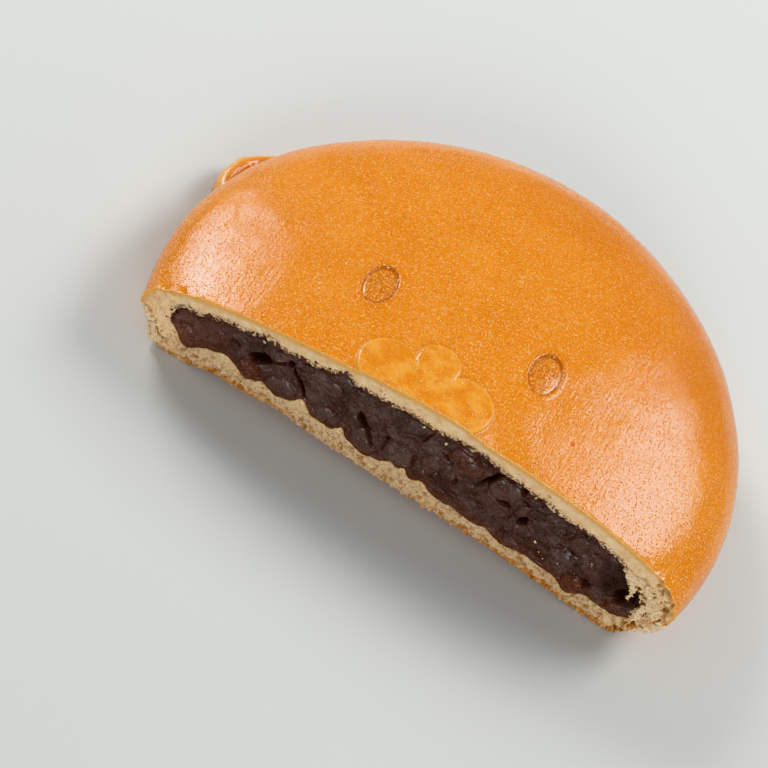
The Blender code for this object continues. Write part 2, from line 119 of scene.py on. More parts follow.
# Swells of the paste's upper and lower edge at the cut: x, rise and width
SWELLS_ABOVE = (
    (-45, 1.7, 1.3), (-36, 0.9, 3), (-30, 1.8, 2), (-15.6, 2, 1.5), (-4, 0.3, 2.5),
    (2, -0.5, 3), (9, 0.4, 3.5), (16, -0.7, 3), (22, -0.7, 3.5), (28, -1.5, 4),
    (35, -0.5, 4), (43, -4.6, 2))
SWELLS_BELOW = (
    (-42, -3.2, 2.6), (-35, 1.1, 1.9), (-30.4, -1.2, 1.6), (-27.2, 0.6, 0.7), (-24.4, -0.8, 1.4),
    (-19.8, 2.5, 1.5), (-11.8, 2, 1), (-6.8, -1, 2), (-1.6, 1.6, 1.4), (0.9, 2, 1),
    (4.6, 1.7, 1.6), (11.3, 0.5, 1), (18, 0.7, 1), (22, -0.7, 1.6), (26.5, 0.4, 1.5),
    (35.4, -2.2, 1.9), (38.8, 0.5, 0.9))
SWELL_DEPTH = 9.0

# Fineness of the meshes: a grade is the spacing at the cut, the widest spacing, and how fast it grows
CRUST_GRADE = (0.22, 0.95, 0.3)
HOLLOW_GRADE = (0.22, 4.0, 0.6)
CRUST_BAND = 14.0
HOLLOW_BAND = 9.0
SIDE_FALL = 1.4
ORNAMENT_STEP = 0.15
CRUMB_STEP = 0.17
PASTE_STEP = 0.18
ROW_SPACING = 0.9
CLEARANCE = 0.5
CUT_TOP = 30.0
CUT_MARGIN = 1.0
CDT_LIMIT = 1e-6
WELD = 0.002
WHOLE_HULL = 0
INSIDE_ONLY = 1


def smooth(value):
    """Runs from 0 to 1 without a corner at either end."""
    value = np.clip(value, 0.0, 1.0)
    return value * value * (3.0 - 2.0 * value)


def around(values, x, y):
    """A value read from a list that runs from +X, by the back, to -X."""
    behind = np.maximum(y, 0.0)
    near_axis = smooth(1.0 - np.abs(x) / TURN_HALF_LENGTH) * smooth(1.0 - behind / TURN_FADE)
    turn = np.arctan2(behind + TURN_DEPTH * near_axis, x) / math.pi * (len(values) - 1)
    step = np.minimum(turn.astype(int), len(values) - 2)
    share = smooth(turn - step)
    values = np.array(values)
    return values[step] * (1.0 - share) + values[step + 1] * share


def bump(distance, width):
    """A smooth rise round distance 0."""
    return np.exp(-(distance / width) ** 2)


def by_the_cut(y, depth):
    """Runs from 1 at the cut to 0 at the given depth behind it."""
    return smooth(1.0 - (y - CUT_Y) / depth)


def inside_oval(x, y):
    """Distance inside the nearer oval, negative outside it."""
    across = (np.abs(x - ORNAMENT_X) - OVAL_SPREAD) / OVAL_HALF_WIDTH
    along = (y - OVAL_Y) / OVAL_HALF_LENGTH
    return (1.0 - np.hypot(across, along)) * OVAL_HALF_WIDTH


def inside_top_lobe(x, y):
    return TOP_LOBE_RADIUS - np.hypot(x - PATCH_X, y - TOP_LOBE_Y)


def inside_patch(x, y):
    """Distance inside the lobed patch, negative outside it."""
    across = np.abs(x - PATCH_X)
    side = SIDE_LOBE_RADIUS - np.hypot(across - SIDE_LOBE_SPREAD, y - SIDE_LOBE_Y)
    heart = PATCH_HEART_RADIUS - np.hypot(across, y - PATCH_HEART_Y)
    return np.maximum.reduce([side, inside_top_lobe(x, y), heart])


def inside_blister(x, y):
    """From 1 in the middle of the small baked blister to 0 or less outside it."""
    return 1.0 - np.hypot(x - BLISTER[0], y - BLISTER[1]) / BLISTER_RADIUS


def ornament_height(x, y):
    """Height of the ornament over the plain crown."""
    oval = inside_oval(x, y)
    patch = inside_patch(x, y)
    lobe = inside_top_lobe(x, y)
    groove = 0.1 * bump(oval - 0.34, 0.18)
    floor_swell = 0.07 * smooth((oval - 0.5) / 2.0)
    rim = 0.06 * bump(oval + 0.35, 0.3)
    pressed = OVAL_DEPTH * smooth(oval / OVAL_WALL) + groove - (floor_swell + rim)
    moat = 0.03 * bump(patch + 0.3, 0.35)
    swell = 0.12 * smooth(patch / 3.0) + 0.16 * smooth(lobe / 0.5) * smooth((y + 16.0) / 4.0)
    ridge = 0.12 * bump(lobe - 0.9, 0.35) * smooth((PATCH_X - 0.5 - x) / 1.5) * smooth((y + 12.5) / 2.0)
    return PATCH_HEIGHT * smooth(patch / PATCH_WALL) - moat + swell + ridge - pressed


class Form:
    """A round form: a crown and a base that meet at its widest line."""
    share = 1.0

    def radius(self, x, y):
        return BUN_RADIUS * self.share * around(PLAN_SHARES, x, y)

    def reach(self, x, y):
        return np.hypot(x, y) / self.radius(x, y)

    def edge(self, x, y):
        """Height of the widest line."""
        return around(self.edge_heights, x, y)

    def rise(self, x, y):
        """From 0 on the flat base to 1 at the widest line."""
        return np.clip((self.reach(x, y) - self.flat_reach) / (1.0 - self.flat_reach), 0.0, 1.0)

    def crown(self, x, y, height, fullness):
        """From the widest line up to a height over the axis."""
        edge = self.edge(x, y)
        fall = np.maximum(1.0 - self.reach(x, y) ** fullness, 0.0) ** (1.0 / self.roundness)
        return edge + (height - edge) * fall

    def inside(self, x, z):
        """True within the outline at the cut."""
        return (z > at_cut(self.bottom, x)) & (z < at_cut(self.top, x))


class Crust(Form):
    """Outer form of the bun."""
    cap_reach = 0.86
    flat_reach = 0.80
    edge_heights = (10.8, 7.6, 9.5)
    roundness = 2.57

    def top(self, x, y):
        """The crown, a little low just right of the patch, with its ornament."""
        crown = self.crown(x, y, CROWN_HEIGHT + CROWN_LEAN * x, around(CROWN_FULLNESS, x, y))
        dip = DIP * bump(x - DIP_X, DIP_WIDTH) * bump(y - CUT_Y, DIP_WIDTH)
        return crown - dip + ornament_height(x, y) + BLISTER_HEIGHT * smooth(inside_blister(x, y) * 1.5)

    def bottom(self, x, y):
        rise = self.rise(x, y)
        place, swell, width = LIFT_SWELL
        lift = LIFT * smooth((x - LIFT_LEFT) / LIFT_LEFT_SLOPE) * smooth((LIFT_RIGHT - x) / LIFT_RIGHT_SLOPE)
        lift += swell * bump(x - place, width)
        lift *= by_the_cut(y, LIFT_DEPTH)
        return self.edge(x, y) * rise ** around(FOOT_FULLNESS, x, y) + lift * (1.0 - rise)


class Filling(Form):
    """Outer form of the paste, and of the hollow in the bread that it fills."""
    share = 0.902
    cap_reach = 0.84
    flat_reach = 0.84
    edge_heights = (6.9, 8.0, 9.1)
    roundness = 3.3

    def swells(self, swells, x, y):
        rises = sum(rise * bump(x - place, width) for place, rise, width in swells)
        return by_the_cut(y, SWELL_DEPTH) * rises

    def top(self, x, y):
        height = FILLING_HEIGHT + CROWN_LEAN * x + self.swells(SWELLS_ABOVE, x, y)
        return self.crown(x, y, height, FILLING_FULLNESS)

    def bottom(self, x, y):
        edge = self.edge(x, y)
        floor = FILLING_FLOOR + FILLING_FLOOR_LEAN * x + self.swells(SWELLS_BELOW, x, y)
        return floor + (edge - floor) * self.rise(x, y) ** FILLING_FOOT


CRUST = Crust()
FILLING = Filling()


def at_cut(height, x):
    """A height of a form, where it is cut."""
    return height(x, np.full(np.shape(x), CUT_Y))


def ring(form, reach, shares):
    """Plan points at shares of the radius, at shares of the way from the cut's right end to its left."""
    toward = form.radius(np.array([FAR_AWAY, -FAR_AWAY]), np.zeros(2))
    right = np.arcsin(CUT_Y / (reach * toward[0]))
    left = math.pi - np.arcsin(CUT_Y / (reach * toward[1]))
    turn = right + (left - right) * shares
    radius = reach * form.radius(FAR_AWAY * np.cos(turn), FAR_AWAY * np.sin(turn))
    x = radius * np.cos(turn)
    y = np.where((shares == 0.0) | (shares == 1.0), CUT_Y, radius * np.sin(turn))
    return x, y


def graded(length, near, far, growth):
    """Places from 0 to length, closest together at both ends."""
    half = [0.0]
    while half[-1] < length / 2.0:
        half.append(half[-1] + min(near + growth * half[-1], far))
    half = np.array(half) * (length / 2.0 / half[-1])
    return np.concatenate([half, length - half[-2::-1]])


def scatter(spacing, low, high, finest, far):
    """Points of nested triangular grids, each used where the wanted spacing is near its own."""
    chosen = []
    levels = math.ceil(math.log2(far / finest)) + 1
    for level in range(levels):
        step = finest * 2.0 ** level
        x, y = np.meshgrid(np.arange(low[0], high[0], step), np.arange(low[1], high[1], step * ROW_SPACING))
        x = x + (np.arange(len(x)) % 2)[:, None] * step / 2.0
        wanted = spacing(x, y)
        kept = wanted >= (step if level else 0.0)
        if level < levels - 1:
            kept &= wanted < 2.0 * step
        chosen.append(np.column_stack([x[kept], y[kept], np.full(kept.sum(), step)]))
    return np.concatenate(chosen)


def tree_of(points):
    """A search tree of points of a plane."""
    tree = kdtree.KDTree(len(points))
    for index, (a, b) in enumerate(points):
        tree.insert((a, b, 0.0), index)
    tree.balance()
    return tree


def distance_to(points, targets):
    """Distance from each point of a plane to the nearest target."""
    tree = tree_of(targets)
    return np.array([tree.find((a, b, 0.0))[2] for a, b in points])


def filled(outline, found):
    """Triangles that fill an outline, with the found points that keep clear of it."""
    clear = distance_to(found[:, :2], outline) > CLEARANCE * found[:, 2]
    flat = [Vector(point) for point in np.concatenate([outline, found[clear][:, :2]])]
    border = [list(range(len(outline)))]
    verts, _, faces, _, _, _ = delaunay_2d_cdt(flat, [], border, INSIDE_ONLY, CDT_LIMIT, False)
    return np.array(verts), faces


def add_patch(mesh, places, faces):
    made = [mesh.verts.new(place) for place in places]
    for face in faces:
        mesh.faces.new([made[index] for index in face])


def make_skin(form, grade, band_height, detail=None):
    """Top, sides and underside of a form, open at the cut and finest along it."""
    near, far, growth = grade
    finest = ORNAMENT_STEP if detail else near
    mesh = bmesh.new()
    length = math.pi * BUN_RADIUS + 2.0 * abs(CUT_Y)
    shares = graded(length, near, far, growth) / length
    low = (-BUN_RADIUS, CUT_Y + near * ROW_SPACING)
    high = (BUN_RADIUS, BUN_RADIUS)

    def wanted(distance):
        return np.clip(near + growth * distance, near, far)

    def plain(x, y):
        return wanted(y - CUT_Y)

    def detailed(x, y):
        return plain(x, y) if detail is None else np.minimum(plain(x, y), detail(x, y))

    caps = ((form.cap_reach, form.top, detailed), (form.flat_reach, form.bottom, plain))
    for reach, height, spacing in caps:
        x, y = ring(form, reach, shares)
        count = int(round((x[0] - x[-1]) / near))
        cut_x = np.linspace(x[-1], x[0], count + 1)[1:-1]
        outline = np.column_stack([np.append(x, cut_x), np.append(y, np.full(count - 1, CUT_Y))])
        found = scatter(spacing, low, high, finest, far)
        inner = form.reach(found[:, 0], found[:, 1]) < reach - CLEARANCE * found[:, 2] / BUN_RADIUS
        flat, faces = filled(outline, found[inner])
        add_patch(mesh, np.column_stack([flat, height(flat[:, 0], flat[:, 1])]), faces)

    start = math.asin(form.cap_reach)

    def placed(along, down):
        """Points of the side: along it from the cut's right end, and down it over the widest line."""
        rise = np.minimum(down / band_height, 1.0)
        fall = np.clip(down / band_height - 1.0, 0.0, 1.0)
        over = down <= band_height
        reach = np.where(over, np.sin(start + (math.pi / 2 - start) * rise),
                         1.0 - (1.0 - form.flat_reach) * fall ** SIDE_FALL)
        x, y = ring(form, reach, along / length)
        return np.column_stack([x, y, np.where(over, form.top(x, y), form.bottom(x, y))])

    total = 2.0 * band_height
    side = graded(total, near, near, 0.0)[1:-1]
    along = shares * length
    outline = np.concatenate([
        np.column_stack([along, np.zeros(len(along))]),
        np.column_stack([np.full(len(side), length), side]),
        np.column_stack([along[::-1], np.full(len(along), total)]),
        np.column_stack([np.zeros(len(side)), side[::-1]])])
    found = scatter(lambda a, b: wanted(np.minimum(a, length - a)), (near / 2.0, near / 2.0),
                    (length, total), near, far)
    inner = (found[:, 0] < length - CLEARANCE * found[:, 2]) & (found[:, 1] < total - CLEARANCE * found[:, 2])
    flat, faces = filled(outline, found[inner])
    for end in (0.0, length):
        flat[:, 0] = np.where(np.abs(flat[:, 0] - end) < CDT_LIMIT, end, flat[:, 0])
    add_patch(mesh, placed(flat[:, 0], flat[:, 1]), faces)
    bmesh.ops.remove_doubles(mesh, verts=mesh.verts, dist=WELD)
    return mesh


def ornament_spacing(x, y):
    """Wanted spacing near the edges of the ornament."""
    patch = inside_patch(x, y)
    distance = np.minimum.reduce([
        np.abs(inside_oval(x, y) - 0.1), np.abs(patch), np.hypot(x - BLISTER[0], y - BLISTER[1]),
        np.where(patch > 0, np.abs(inside_top_lobe(x, y) - 0.3), 9.0)])
    return np.clip(ORNAMENT_STEP + 0.5 * np.maximum(distance - 0.6, 0.0), ORNAMENT_STEP, CRUST_GRADE[1])


def open_rim(mesh):
    """Corners along the open edge at the cut, as x and z."""
    return np.array([(vert.co.x, vert.co.z) for vert in mesh.verts if vert.is_boundary])


def noise_at(points, grain, seed):
    """Smooth noise from about -1 to 1 at points of a plane."""
    return np.array([noise.noise((a, b, seed)) for a, b in points / grain])


def layered(points, layers):
    """A sum of noises, each given by its amount, grain and seed."""
    return sum(amount * noise_at(points, grain, seed) for amount, grain, seed in layers)


def odd_crossings(points, walls):
    """True where a line to the right of a point crosses the walls an odd number of times."""
    x1, z1, x2, z2 = (walls[:, index][None, :] for index in range(4))
    result = []
    for chunk in np.array_split(points, max(1, len(points) // 1000)):
        x, z = chunk[:, :1], chunk[:, 1:]
        spans = (z1 > z) != (z2 > z)
        rise = np.where(spans, z2 - z1, 1.0)
        crossed = spans & (x < x1 + (z - z1) / rise * (x2 - x1))
        result.append(crossed.sum(axis=1) % 2 == 1)
    return np.concatenate(result)


def close_cut(mesh, step, inside):
    """Closes the open edge at the cut with small triangles. Gives the faces."""
    edges = [edge for edge in mesh.edges if edge.is_boundary]
    rim = sorted({vert for edge in edges for vert in edge.verts}, key=lambda vert: (vert.co.x, vert.co.z))
    place = {vert: index for index, vert in enumerate(rim)}
    outline = np.array([(vert.co.x, vert.co.z) for vert in rim])
    lines = [(place[edge.verts[0]], place[edge.verts[1]]) for edge in edges]
    walls = np.array([(*outline[first], *outline[second]) for first, second in lines])
    reach = BUN_RADIUS + CUT_MARGIN
    found = scatter(lambda x, z: np.full(x.shape, step), (-reach, 0.0), (reach, CUT_TOP), step, step)
    points = found[inside(found[:, 0], found[:, 1])][:, :2]
    points = points[distance_to(points, outline) > CLEARANCE * step]
    flat = [Vector(point) for point in np.concatenate([outline, points])]
    verts, _, faces, origins, _, _ = delaunay_2d_cdt(flat, lines, [], WHOLE_HULL, CDT_LIMIT)
    corners = np.array(faces)
    kept = odd_crossings(np.array(verts)[corners].mean(axis=1), walls)
    placed = []
    for (x, z), origin in zip(verts, origins):
        known = origin and origin[0] < len(rim)
        placed.append(rim[origin[0]] if known else mesh.verts.new((x, CUT_Y, z)))
    added = [mesh.faces.new([placed[index] for index in corner]) for corner in corners[kept]]
    loose = [vert for vert in mesh.verts if not vert.link_faces]
    bmesh.ops.delete(mesh, geom=loose, context="VERTS")
    return added


class Grid:
    """All corners of a mesh as an array, with those of the cut face also in its plane."""

    def __init__(self, mesh, cut_faces):
        mesh.verts.index_update()
        self.mesh = mesh
        self.places = np.array([vert.co for vert in mesh.verts])
        self.cut = np.array(sorted({vert.index for face in cut_faces for vert in face.verts}))
        self.flat = self.places[self.cut][:, [0, 2]]

    def store(self):
        for vert, place in zip(self.mesh.verts, self.places):
            vert.co = place


# Relief round the cut
EDGE_ROUND = 0.15
RAGGED_DEPTH = 1.6
PASTE_RAGGED = 0.42
FOOT_RAGGED = 0.6
TORN_SLOPE = 5.0
TORN_DEPTH = 2.6
TORN_LEFT_INSET = 1.15
TORN_RIGHT_INSET = 1.5
# Torn ends: side, start along the cut, foot and its slope, top and its slope
TORN_LEFT = (-1.0, 45.0, 0.4, 1.4, 8.2, 1.6)
TORN_RIGHT = (1.0, 45.5, -0.5, 2.0, 10.5, 3.0)
TOP_OF_FOOT = 0.6

# Which faces are crumb, and what marks places without crust or ornament
CRUMB_SLOT = 1
BARE_LIMIT = 0.45
SHARP_ANGLE = 60
ALL_CRUMB = 3.0
ORNAMENT_FLOOR = 12.0
FAR_OUTSIDE = -9.0

# Waves of the crust, as amount and grain, and the height below which they fade
CRUST_WAVES = ((0.13, 13.0), (0.075, 4.5))
STILL_FOOT = 3.0

# Noise of the relief: amount, grain and seed
TORN_KNOBS = ((0.75, 1.5, 61.0), (0.35, 0.7, 63.0))
EDGE_SIDEWAYS = ((0.8, 1.4, 3.1), (0.35, 0.6, 13.1))
EDGE_UPRIGHT = ((1.0, 1.4, 7.7), (0.35, 0.6, 17.7))
FOOT_SIDEWAYS = ((0.3, 1.1, 23.0), (0.5, 0.5, 33.0))
CRUMB_WAVES = ((0.3, 2.4, 41.0), (0.3, 1.0, 43.0), (0.3, 0.55, 47.0))
CRUMB_CLUMPS = ((1.0, 1.5, 53.0), (0.4, 0.7, 59.0))


def round_edge(mesh):
    """Turns the skin gently in at the cut, as a knife leaves it."""
    mesh.normal_update()
    for vert in mesh.verts:
        depth = vert.co.y - CUT_Y
        if depth < EDGE_ROUND:
            inward = Vector((-vert.normal.x, 0.0, -vert.normal.z)).normalized()
            drop = EDGE_ROUND - math.sqrt(max(EDGE_ROUND ** 2 - (EDGE_ROUND - depth) ** 2, 0.0))
            vert.co += inward * drop


def sway_skin(mesh):
    """Long, low waves of the crust that break up its highlights; the flat base stays flat."""
    mesh.normal_update()
    for vert in mesh.verts:
        wave = sum(amount * noise.noise(vert.co / grain) for amount, grain in CRUST_WAVES)
        vert.co += vert.normal * wave * min(vert.co.z / STILL_FOOT, 1.0)


def torn_share(places, end):
    """How far a place belongs to a torn end, where the crust is missing below the crown."""
    side, start, foot, foot_slope, top, top_slope = end
    x, y, z = places.T
    share = smooth((side * x - start) / TORN_SLOPE) * smooth((z - foot) / foot_slope)
    return share * smooth((top - z) / top_slope) * by_the_cut(y, TORN_DEPTH)


def torn_shift(places):
    """Moves the torn ends in, with knobs."""
    left = torn_share(places, TORN_LEFT)
    right = torn_share(places, TORN_RIGHT)
    shift = np.zeros(places.shape)
    near = np.flatnonzero(left + right > 0.0)
    flat = places[near][:, [0, 2]] + places[near, 1:2] * 0.7
    knobs = layered(flat, TORN_KNOBS)
    shift[near, 0] = left[near] * (TORN_LEFT_INSET + knobs) - right[near] * (TORN_RIGHT_INSET + knobs)
    shift[near, 2] = (left[near] + right[near]) * 0.5 * noise_at(flat, 1.2, 67.0)
    return shift


def paste_ragged(places):
    """Sideways shift, in the plane of the cut, that makes the edge between crumb and paste ragged."""
    x, z = places[:, 0], places[:, 2]
    above = bump(z - at_cut(FILLING.top, x), 1.5) + 1.4 * smooth((np.abs(x) - 40.0) / 8.0)
    below = bump(z - at_cut(FILLING.bottom, x), 1.5)
    size = PASTE_RAGGED * np.minimum(above + 0.3 * below, 1.3) * by_the_cut(places[:, 1], RAGGED_DEPTH)
    flat = places[:, [0, 2]]
    shift = np.zeros(places.shape)
    shift[:, 0] = size * layered(flat, EDGE_SIDEWAYS)
    shift[:, 2] = size * layered(flat, EDGE_UPRIGHT)
    return shift


def foot_ragged(places, foot_rim):
    """Sideways shift that frays the crust at the foot and the ends of the cut into small teeth."""
    near = np.flatnonzero(places[:, 1] - CUT_Y < RAGGED_DEPTH)
    flat = places[near][:, [0, 2]]
    size = FOOT_RAGGED * bump(distance_to(flat, foot_rim), 0.9) * by_the_cut(places[near, 1], RAGGED_DEPTH)
    size *= 1.0 + 0.5 * smooth((np.abs(flat[:, 0]) - 44.0) / 4.0)
    shift = np.zeros(places.shape)
    teeth = np.maximum(noise_at(flat * (1.0, 0.4), 0.5, 37.0), 0.0)
    shift[near, 0] = size * layered(flat, FOOT_SIDEWAYS)
    shift[near, 2] = size * (0.3 * noise_at(flat, 1.4, 27.0) - 2.2 * teeth + 0.35)
    return shift


def toasting(x):
    """How browned the crumb's lower edge is along the cut."""
    right = smooth((x + 2.0) / 30.0)
    left = 0.75 * smooth((-x - 16.0) / 12.0)
    return (0.3 + 0.7 * np.maximum(left, right)) * smooth((x + 49.5) / 5.0)


# Small pores, then large ones, and the slits beside the torn flaps, as x, z and radius; all are sunk and also
# painted with shade
PORES = 5200
PORE_SEED = 5
PORE_RADII = (0.16, 0.6)
PORE_SKEW = 2.5
PORE_DEPTH = 1.2
PORE_TOP = 28.0
RARE_PORES = 0.04
LARGE_PORE_DEPTH = 1.5
LARGE_PORES = (
    (-39.7, 3.4, 0.6), (-34.9, 3.8, 0.5), (-26.6, 4.3, 0.5), (-43.2, 4.7, 0.35), (-37.3, 5.2, 0.3),
    (-31.8, 4.6, 0.3), (-22.5, 5.4, 0.3), (-10.5, 4.6, 0.4), (48.6, 10.6, 0.8), (48.6, 8.1, 0.6),
    (49, 5.6, 0.6), (46.2, 3.6, 0.4), (50.6, 8, 0.4))
TORN_SLITS = ((45.1, 14.8, 0.45), (45.2, 13.9, 0.55), (46.4, 12.9, 0.4), (46.2, 11.6, 0.5))


def pore_chance(x, z):
    """Pores are common low down and at the right end, and rare elsewhere."""
    return max(smooth(1.0 - (z - 2.5) / 5.0), smooth((x - 42.0) / 5.0), RARE_PORES)


def small_pores(flat):
    """Depth of the small round pores at points of the cut."""
    draw = random.Random(PORE_SEED)
    tree = tree_of(flat)
    least, most = PORE_RADII
    sunk = np.zeros(len(flat))
    for _ in range(PORES):
        x = draw.uniform(-BUN_RADIUS, BUN_RADIUS)
        z = draw.uniform(0.0, PORE_TOP)
        radius = least + (most - least) * draw.random() ** PORE_SKEW
        if draw.random() > pore_chance(x, z):
            continue
        for _, index, distance in tree.find_range((x, z, 0.0), radius):
            share = math.sqrt(max(1.0 - (distance / radius) ** 2, 0.0))
            sunk[index] = max(sunk[index], PORE_DEPTH * radius * share)
    return sunk


def crumb_relief(flat, from_crust, from_paste):
    """How far the crumb stands into the bread from the plane of the cut, with its pores and slits, and where
    shade is painted in the pores and in the pits between clumps.
    """
    x, z = flat.T
    ends = smooth((np.abs(x) - 43.0) / 6.0)
    lower = smooth(1.0 - (z - 3.0) / 5.0)
    rough = np.maximum(0.2 + 0.8 * bump(from_paste, 0.9), lower)
    rough = np.maximum(rough, 1.6 * ends) * smooth(0.15 + from_crust / 0.5)
    pores = small_pores(flat)
    for a, b, radius in LARGE_PORES:
        share = np.hypot(x - a, z - b) / radius
        pores = np.maximum(pores, LARGE_PORE_DEPTH * radius * np.sqrt(np.maximum(1.0 - share ** 2, 0.0)))
    pores *= smooth(from_crust / 0.5)
    slit = np.zeros(len(flat))
    for a, b, radius in TORN_SLITS:
        slit = np.maximum(slit, smooth(1.5 - np.hypot(x - a, z - b) / radius))
    clumped = smooth((x - 43.0) / 3.0) * smooth(from_crust / 0.9 - 0.4)
    clumps = clumped * layered(flat, CRUMB_CLUMPS)
    pits_between = 0.8 * clumped * smooth(4.5 * clumps)
    relief = rough * layered(flat, CRUMB_WAVES) + 1.4 * clumps + 0.25 * clumped + pores + 1.4 * slit
    return relief, np.maximum(pores, pits_between), slit


def make_bread():
    mesh = make_skin(CRUST, CRUST_GRADE, CRUST_BAND, ornament_spacing)
    sway_skin(mesh)
    round_edge(mesh)
    hollow = make_skin(FILLING, HOLLOW_GRADE, HOLLOW_BAND)
    for face in hollow.faces:
        face.material_index = CRUMB_SLOT
    outer_rim = open_rim(mesh)
    paste_rim = open_rim(hollow)
    foot_rim = outer_rim[outer_rim[:, 1] < at_cut(CRUST.edge, outer_rim[:, 0]) - TOP_OF_FOOT]
    data = bpy.data.meshes.new("hollow")
    hollow.to_mesh(data)
    mesh.from_mesh(data)
    bpy.data.meshes.remove(data)

    faces = close_cut(mesh, CRUMB_STEP, lambda x, z: CRUST.inside(x, z) & ~FILLING.inside(x, z))
    for face in faces:
        face.material_index = CRUMB_SLOT
    grid = Grid(mesh, faces)
    cut, flat = grid.cut, grid.flat
    x, y, z = grid.places.T
    under = smooth((CRUST.edge(x, y) - 0.8 - z) / 0.6) * smooth((0.75 - (y - CUT_Y)) / 0.3)
    bare = np.maximum.reduce([torn_share(grid.places, end) for end in (TORN_LEFT, TORN_RIGHT)] + [under])
    for face in mesh.faces:
        if min(bare[vert.index] for vert in face.verts) > BARE_LIMIT:
            face.material_index = CRUMB_SLOT

    from_crust = distance_to(flat, outer_rim)
    from_paste = distance_to(flat, paste_rim)
    relief, pores, slit = crumb_relief(flat, from_crust, from_paste)
    on_crown = z > ORNAMENT_FLOOR
    ends = smooth((np.abs(x) - 43.0) / 5.0)
    values = {
        "under_crust": ALL_CRUMB * bare,
        "toast": under * toasting(x),
        "pore_shade": np.zeros(len(x)),
        "paste_smear_and_slit_shade": np.zeros(len(x)),
        # low: a darker low strip of crumb, partly toasted and partly painted shade
        "low": smooth((10.0 - z) / 5.0) * smooth((46.0 - np.abs(x)) / 4.0),
        "in_oval": np.where(on_crown, inside_oval(x, y), FAR_OUTSIDE),
        "in_patch": np.where(on_crown, inside_patch(x, y), FAR_OUTSIDE),
        "blister": np.where(on_crown, np.maximum(inside_blister(x, y), 0.0), 0.0),
        "pale": ends * np.where(x < 0.0, 0.2 + 0.6 * smooth((9.5 - z) / 3.0), 0.4),
        "lip": 0.0,
        # Painted shade on the back of the crown
        "back_shade": smooth((CRUST.reach(x, y) - 0.42) / 0.4) * smooth(y / 22.0) * smooth((x + 22.0) / 25.0),
    }
    values["under_crust"][cut] = np.maximum(from_crust, ALL_CRUMB * bare[cut])
    values["toast"][cut] = toasting(x[cut]) * smooth(1.25 - distance_to(flat, foot_rim) / 1.6)
    # Painted shade in the pores and in the pits between the clumps
    values["pore_shade"][cut] = pores
    over_paste = flat[:, 1] - at_cut(FILLING.bottom, flat[:, 0])
    smear = smooth(1.0 - from_paste / 1.7) * smooth((over_paste - 1.5) / 3.0)
    # Paste smears, and painted shade in the slits
    values["paste_smear_and_slit_shade"][cut] = np.maximum(smear, 2.5 * slit)

    shift = paste_ragged(grid.places) + foot_ragged(grid.places, foot_rim) + torn_shift(grid.places)
    grid.places[cut, 1] += relief
    grid.places += shift
    grid.places[:, 2] = np.maximum(grid.places[:, 2], 0.0)
    grid.store()
    return make_object("crust_and_crumb", mesh, values)


# Beans and smooth lobes in the paste: x, z, half length, half width, tilt in degrees, height, redness
BEANS = (
    (-43, 7, 2.4, 1.8, -50, 0.5, 0.9), (-39, 11, 3.2, 2.4, 10, 0.3, 0.4),
    (-30.6, 8.4, 2.5, 2.2, 80, 0.9, 0.8), (-24.4, 9, 2.9, 2.5, 20, 0.8, 0.1),
    (-16.4, 15.8, 2.2, 1.7, 30, 0.4, 0.2), (-15.3, 9, 2.5, 2.1, 10, 0.6, 0.1),
    (-7.6, 8.4, 3.8, 2.1, -40, 0.7, 0.1), (-1.4, 10.8, 3.4, 2.8, 70, 1, -0.5),
    (3.8, 12.4, 3.2, 1.9, 75, 0.6, 0.2), (8.7, 18.6, 3.4, 2.8, -12, 0.9, 0.5),
    (16.6, 18.2, 3, 2.8, 80, 0.8, 0.2), (16.6, 13.2, 3.2, 2.4, -15, 0.7, 0.2),
    (21.2, 15.9, 2.1, 1.2, 85, 0.5, 0.3), (31.6, 16.6, 2.3, 1.8, -10, 0.6, 0.3),
    (31.4, 11, 2.8, 1.7, -10, 0.6, 0.1), (37, 11.2, 3, 2, -30, 0.6, 0.2),
    (24.7, 5.6, 1, 0.9, 0, 0.3, 0.8), (35.8, 5.9, 2.6, 2.3, -20, 0.9, 1),
    (43.2, 6.4, 2.1, 1.6, 60, 0.6, 0.6))
# Hollows and cracks between them: x, z, half length, half width, tilt in degrees, depth
HOLLOWS = (
    (-34.3, 12.5, 0.8, 0.7, 0, 0.8), (-29.3, 12.5, 1.9, 1.2, 35, 2.6), (-26.5, 14, 2.3, 0.35, 45, 0.7),
    (-24.5, 15.6, 0.9, 0.6, 90, 1.6), (-21.6, 12.4, 4.5, 0.4, -52, 1.3), (-9.2, 13, 1.8, 0.65, -48, 1.8),
    (-6.7, 9.9, 2, 0.3, -45, 0.9), (-4.4, 12.5, 0.9, 0.35, 70, 0.9), (1.2, 18.9, 1.9, 0.25, 75, 0.6),
    (6, 16.8, 1.6, 0.4, -15, 0.8), (9.3, 13, 1, 0.5, 50, 0.5), (13.5, 18, 2.9, 0.4, 62, 1.3),
    (17.6, 15.2, 1.8, 0.4, -10, 0.8), (19.2, 20.2, 1, 0.4, -70, 0.8), (21, 18.2, 1, 0.35, 0, 0.9),
    (22.2, 13.1, 1.3, 0.6, 80, 1.3), (31.4, 13.3, 2.2, 0.35, -5, 0.8), (30.3, 17, 1.2, 0.3, 70, 0.6),
    (37.4, 8.1, 0.9, 0.6, -20, 0.9), (43.8, 10.5, 2.4, 1.6, 70, 1.6))
BEAN_EDGE = 0.3
WARP = 0.75


def ellipse(flat, x, z, half_length, half_width, tilt):
    """Distance from an ellipse's middle as a share of its size."""
    turn = math.radians(tilt)
    a, b = (flat - (x, z)).T
    along = (a * math.cos(turn) + b * math.sin(turn)) / half_length
    across = (b * math.cos(turn) - a * math.sin(turn)) / half_width
    return np.hypot(along, across)


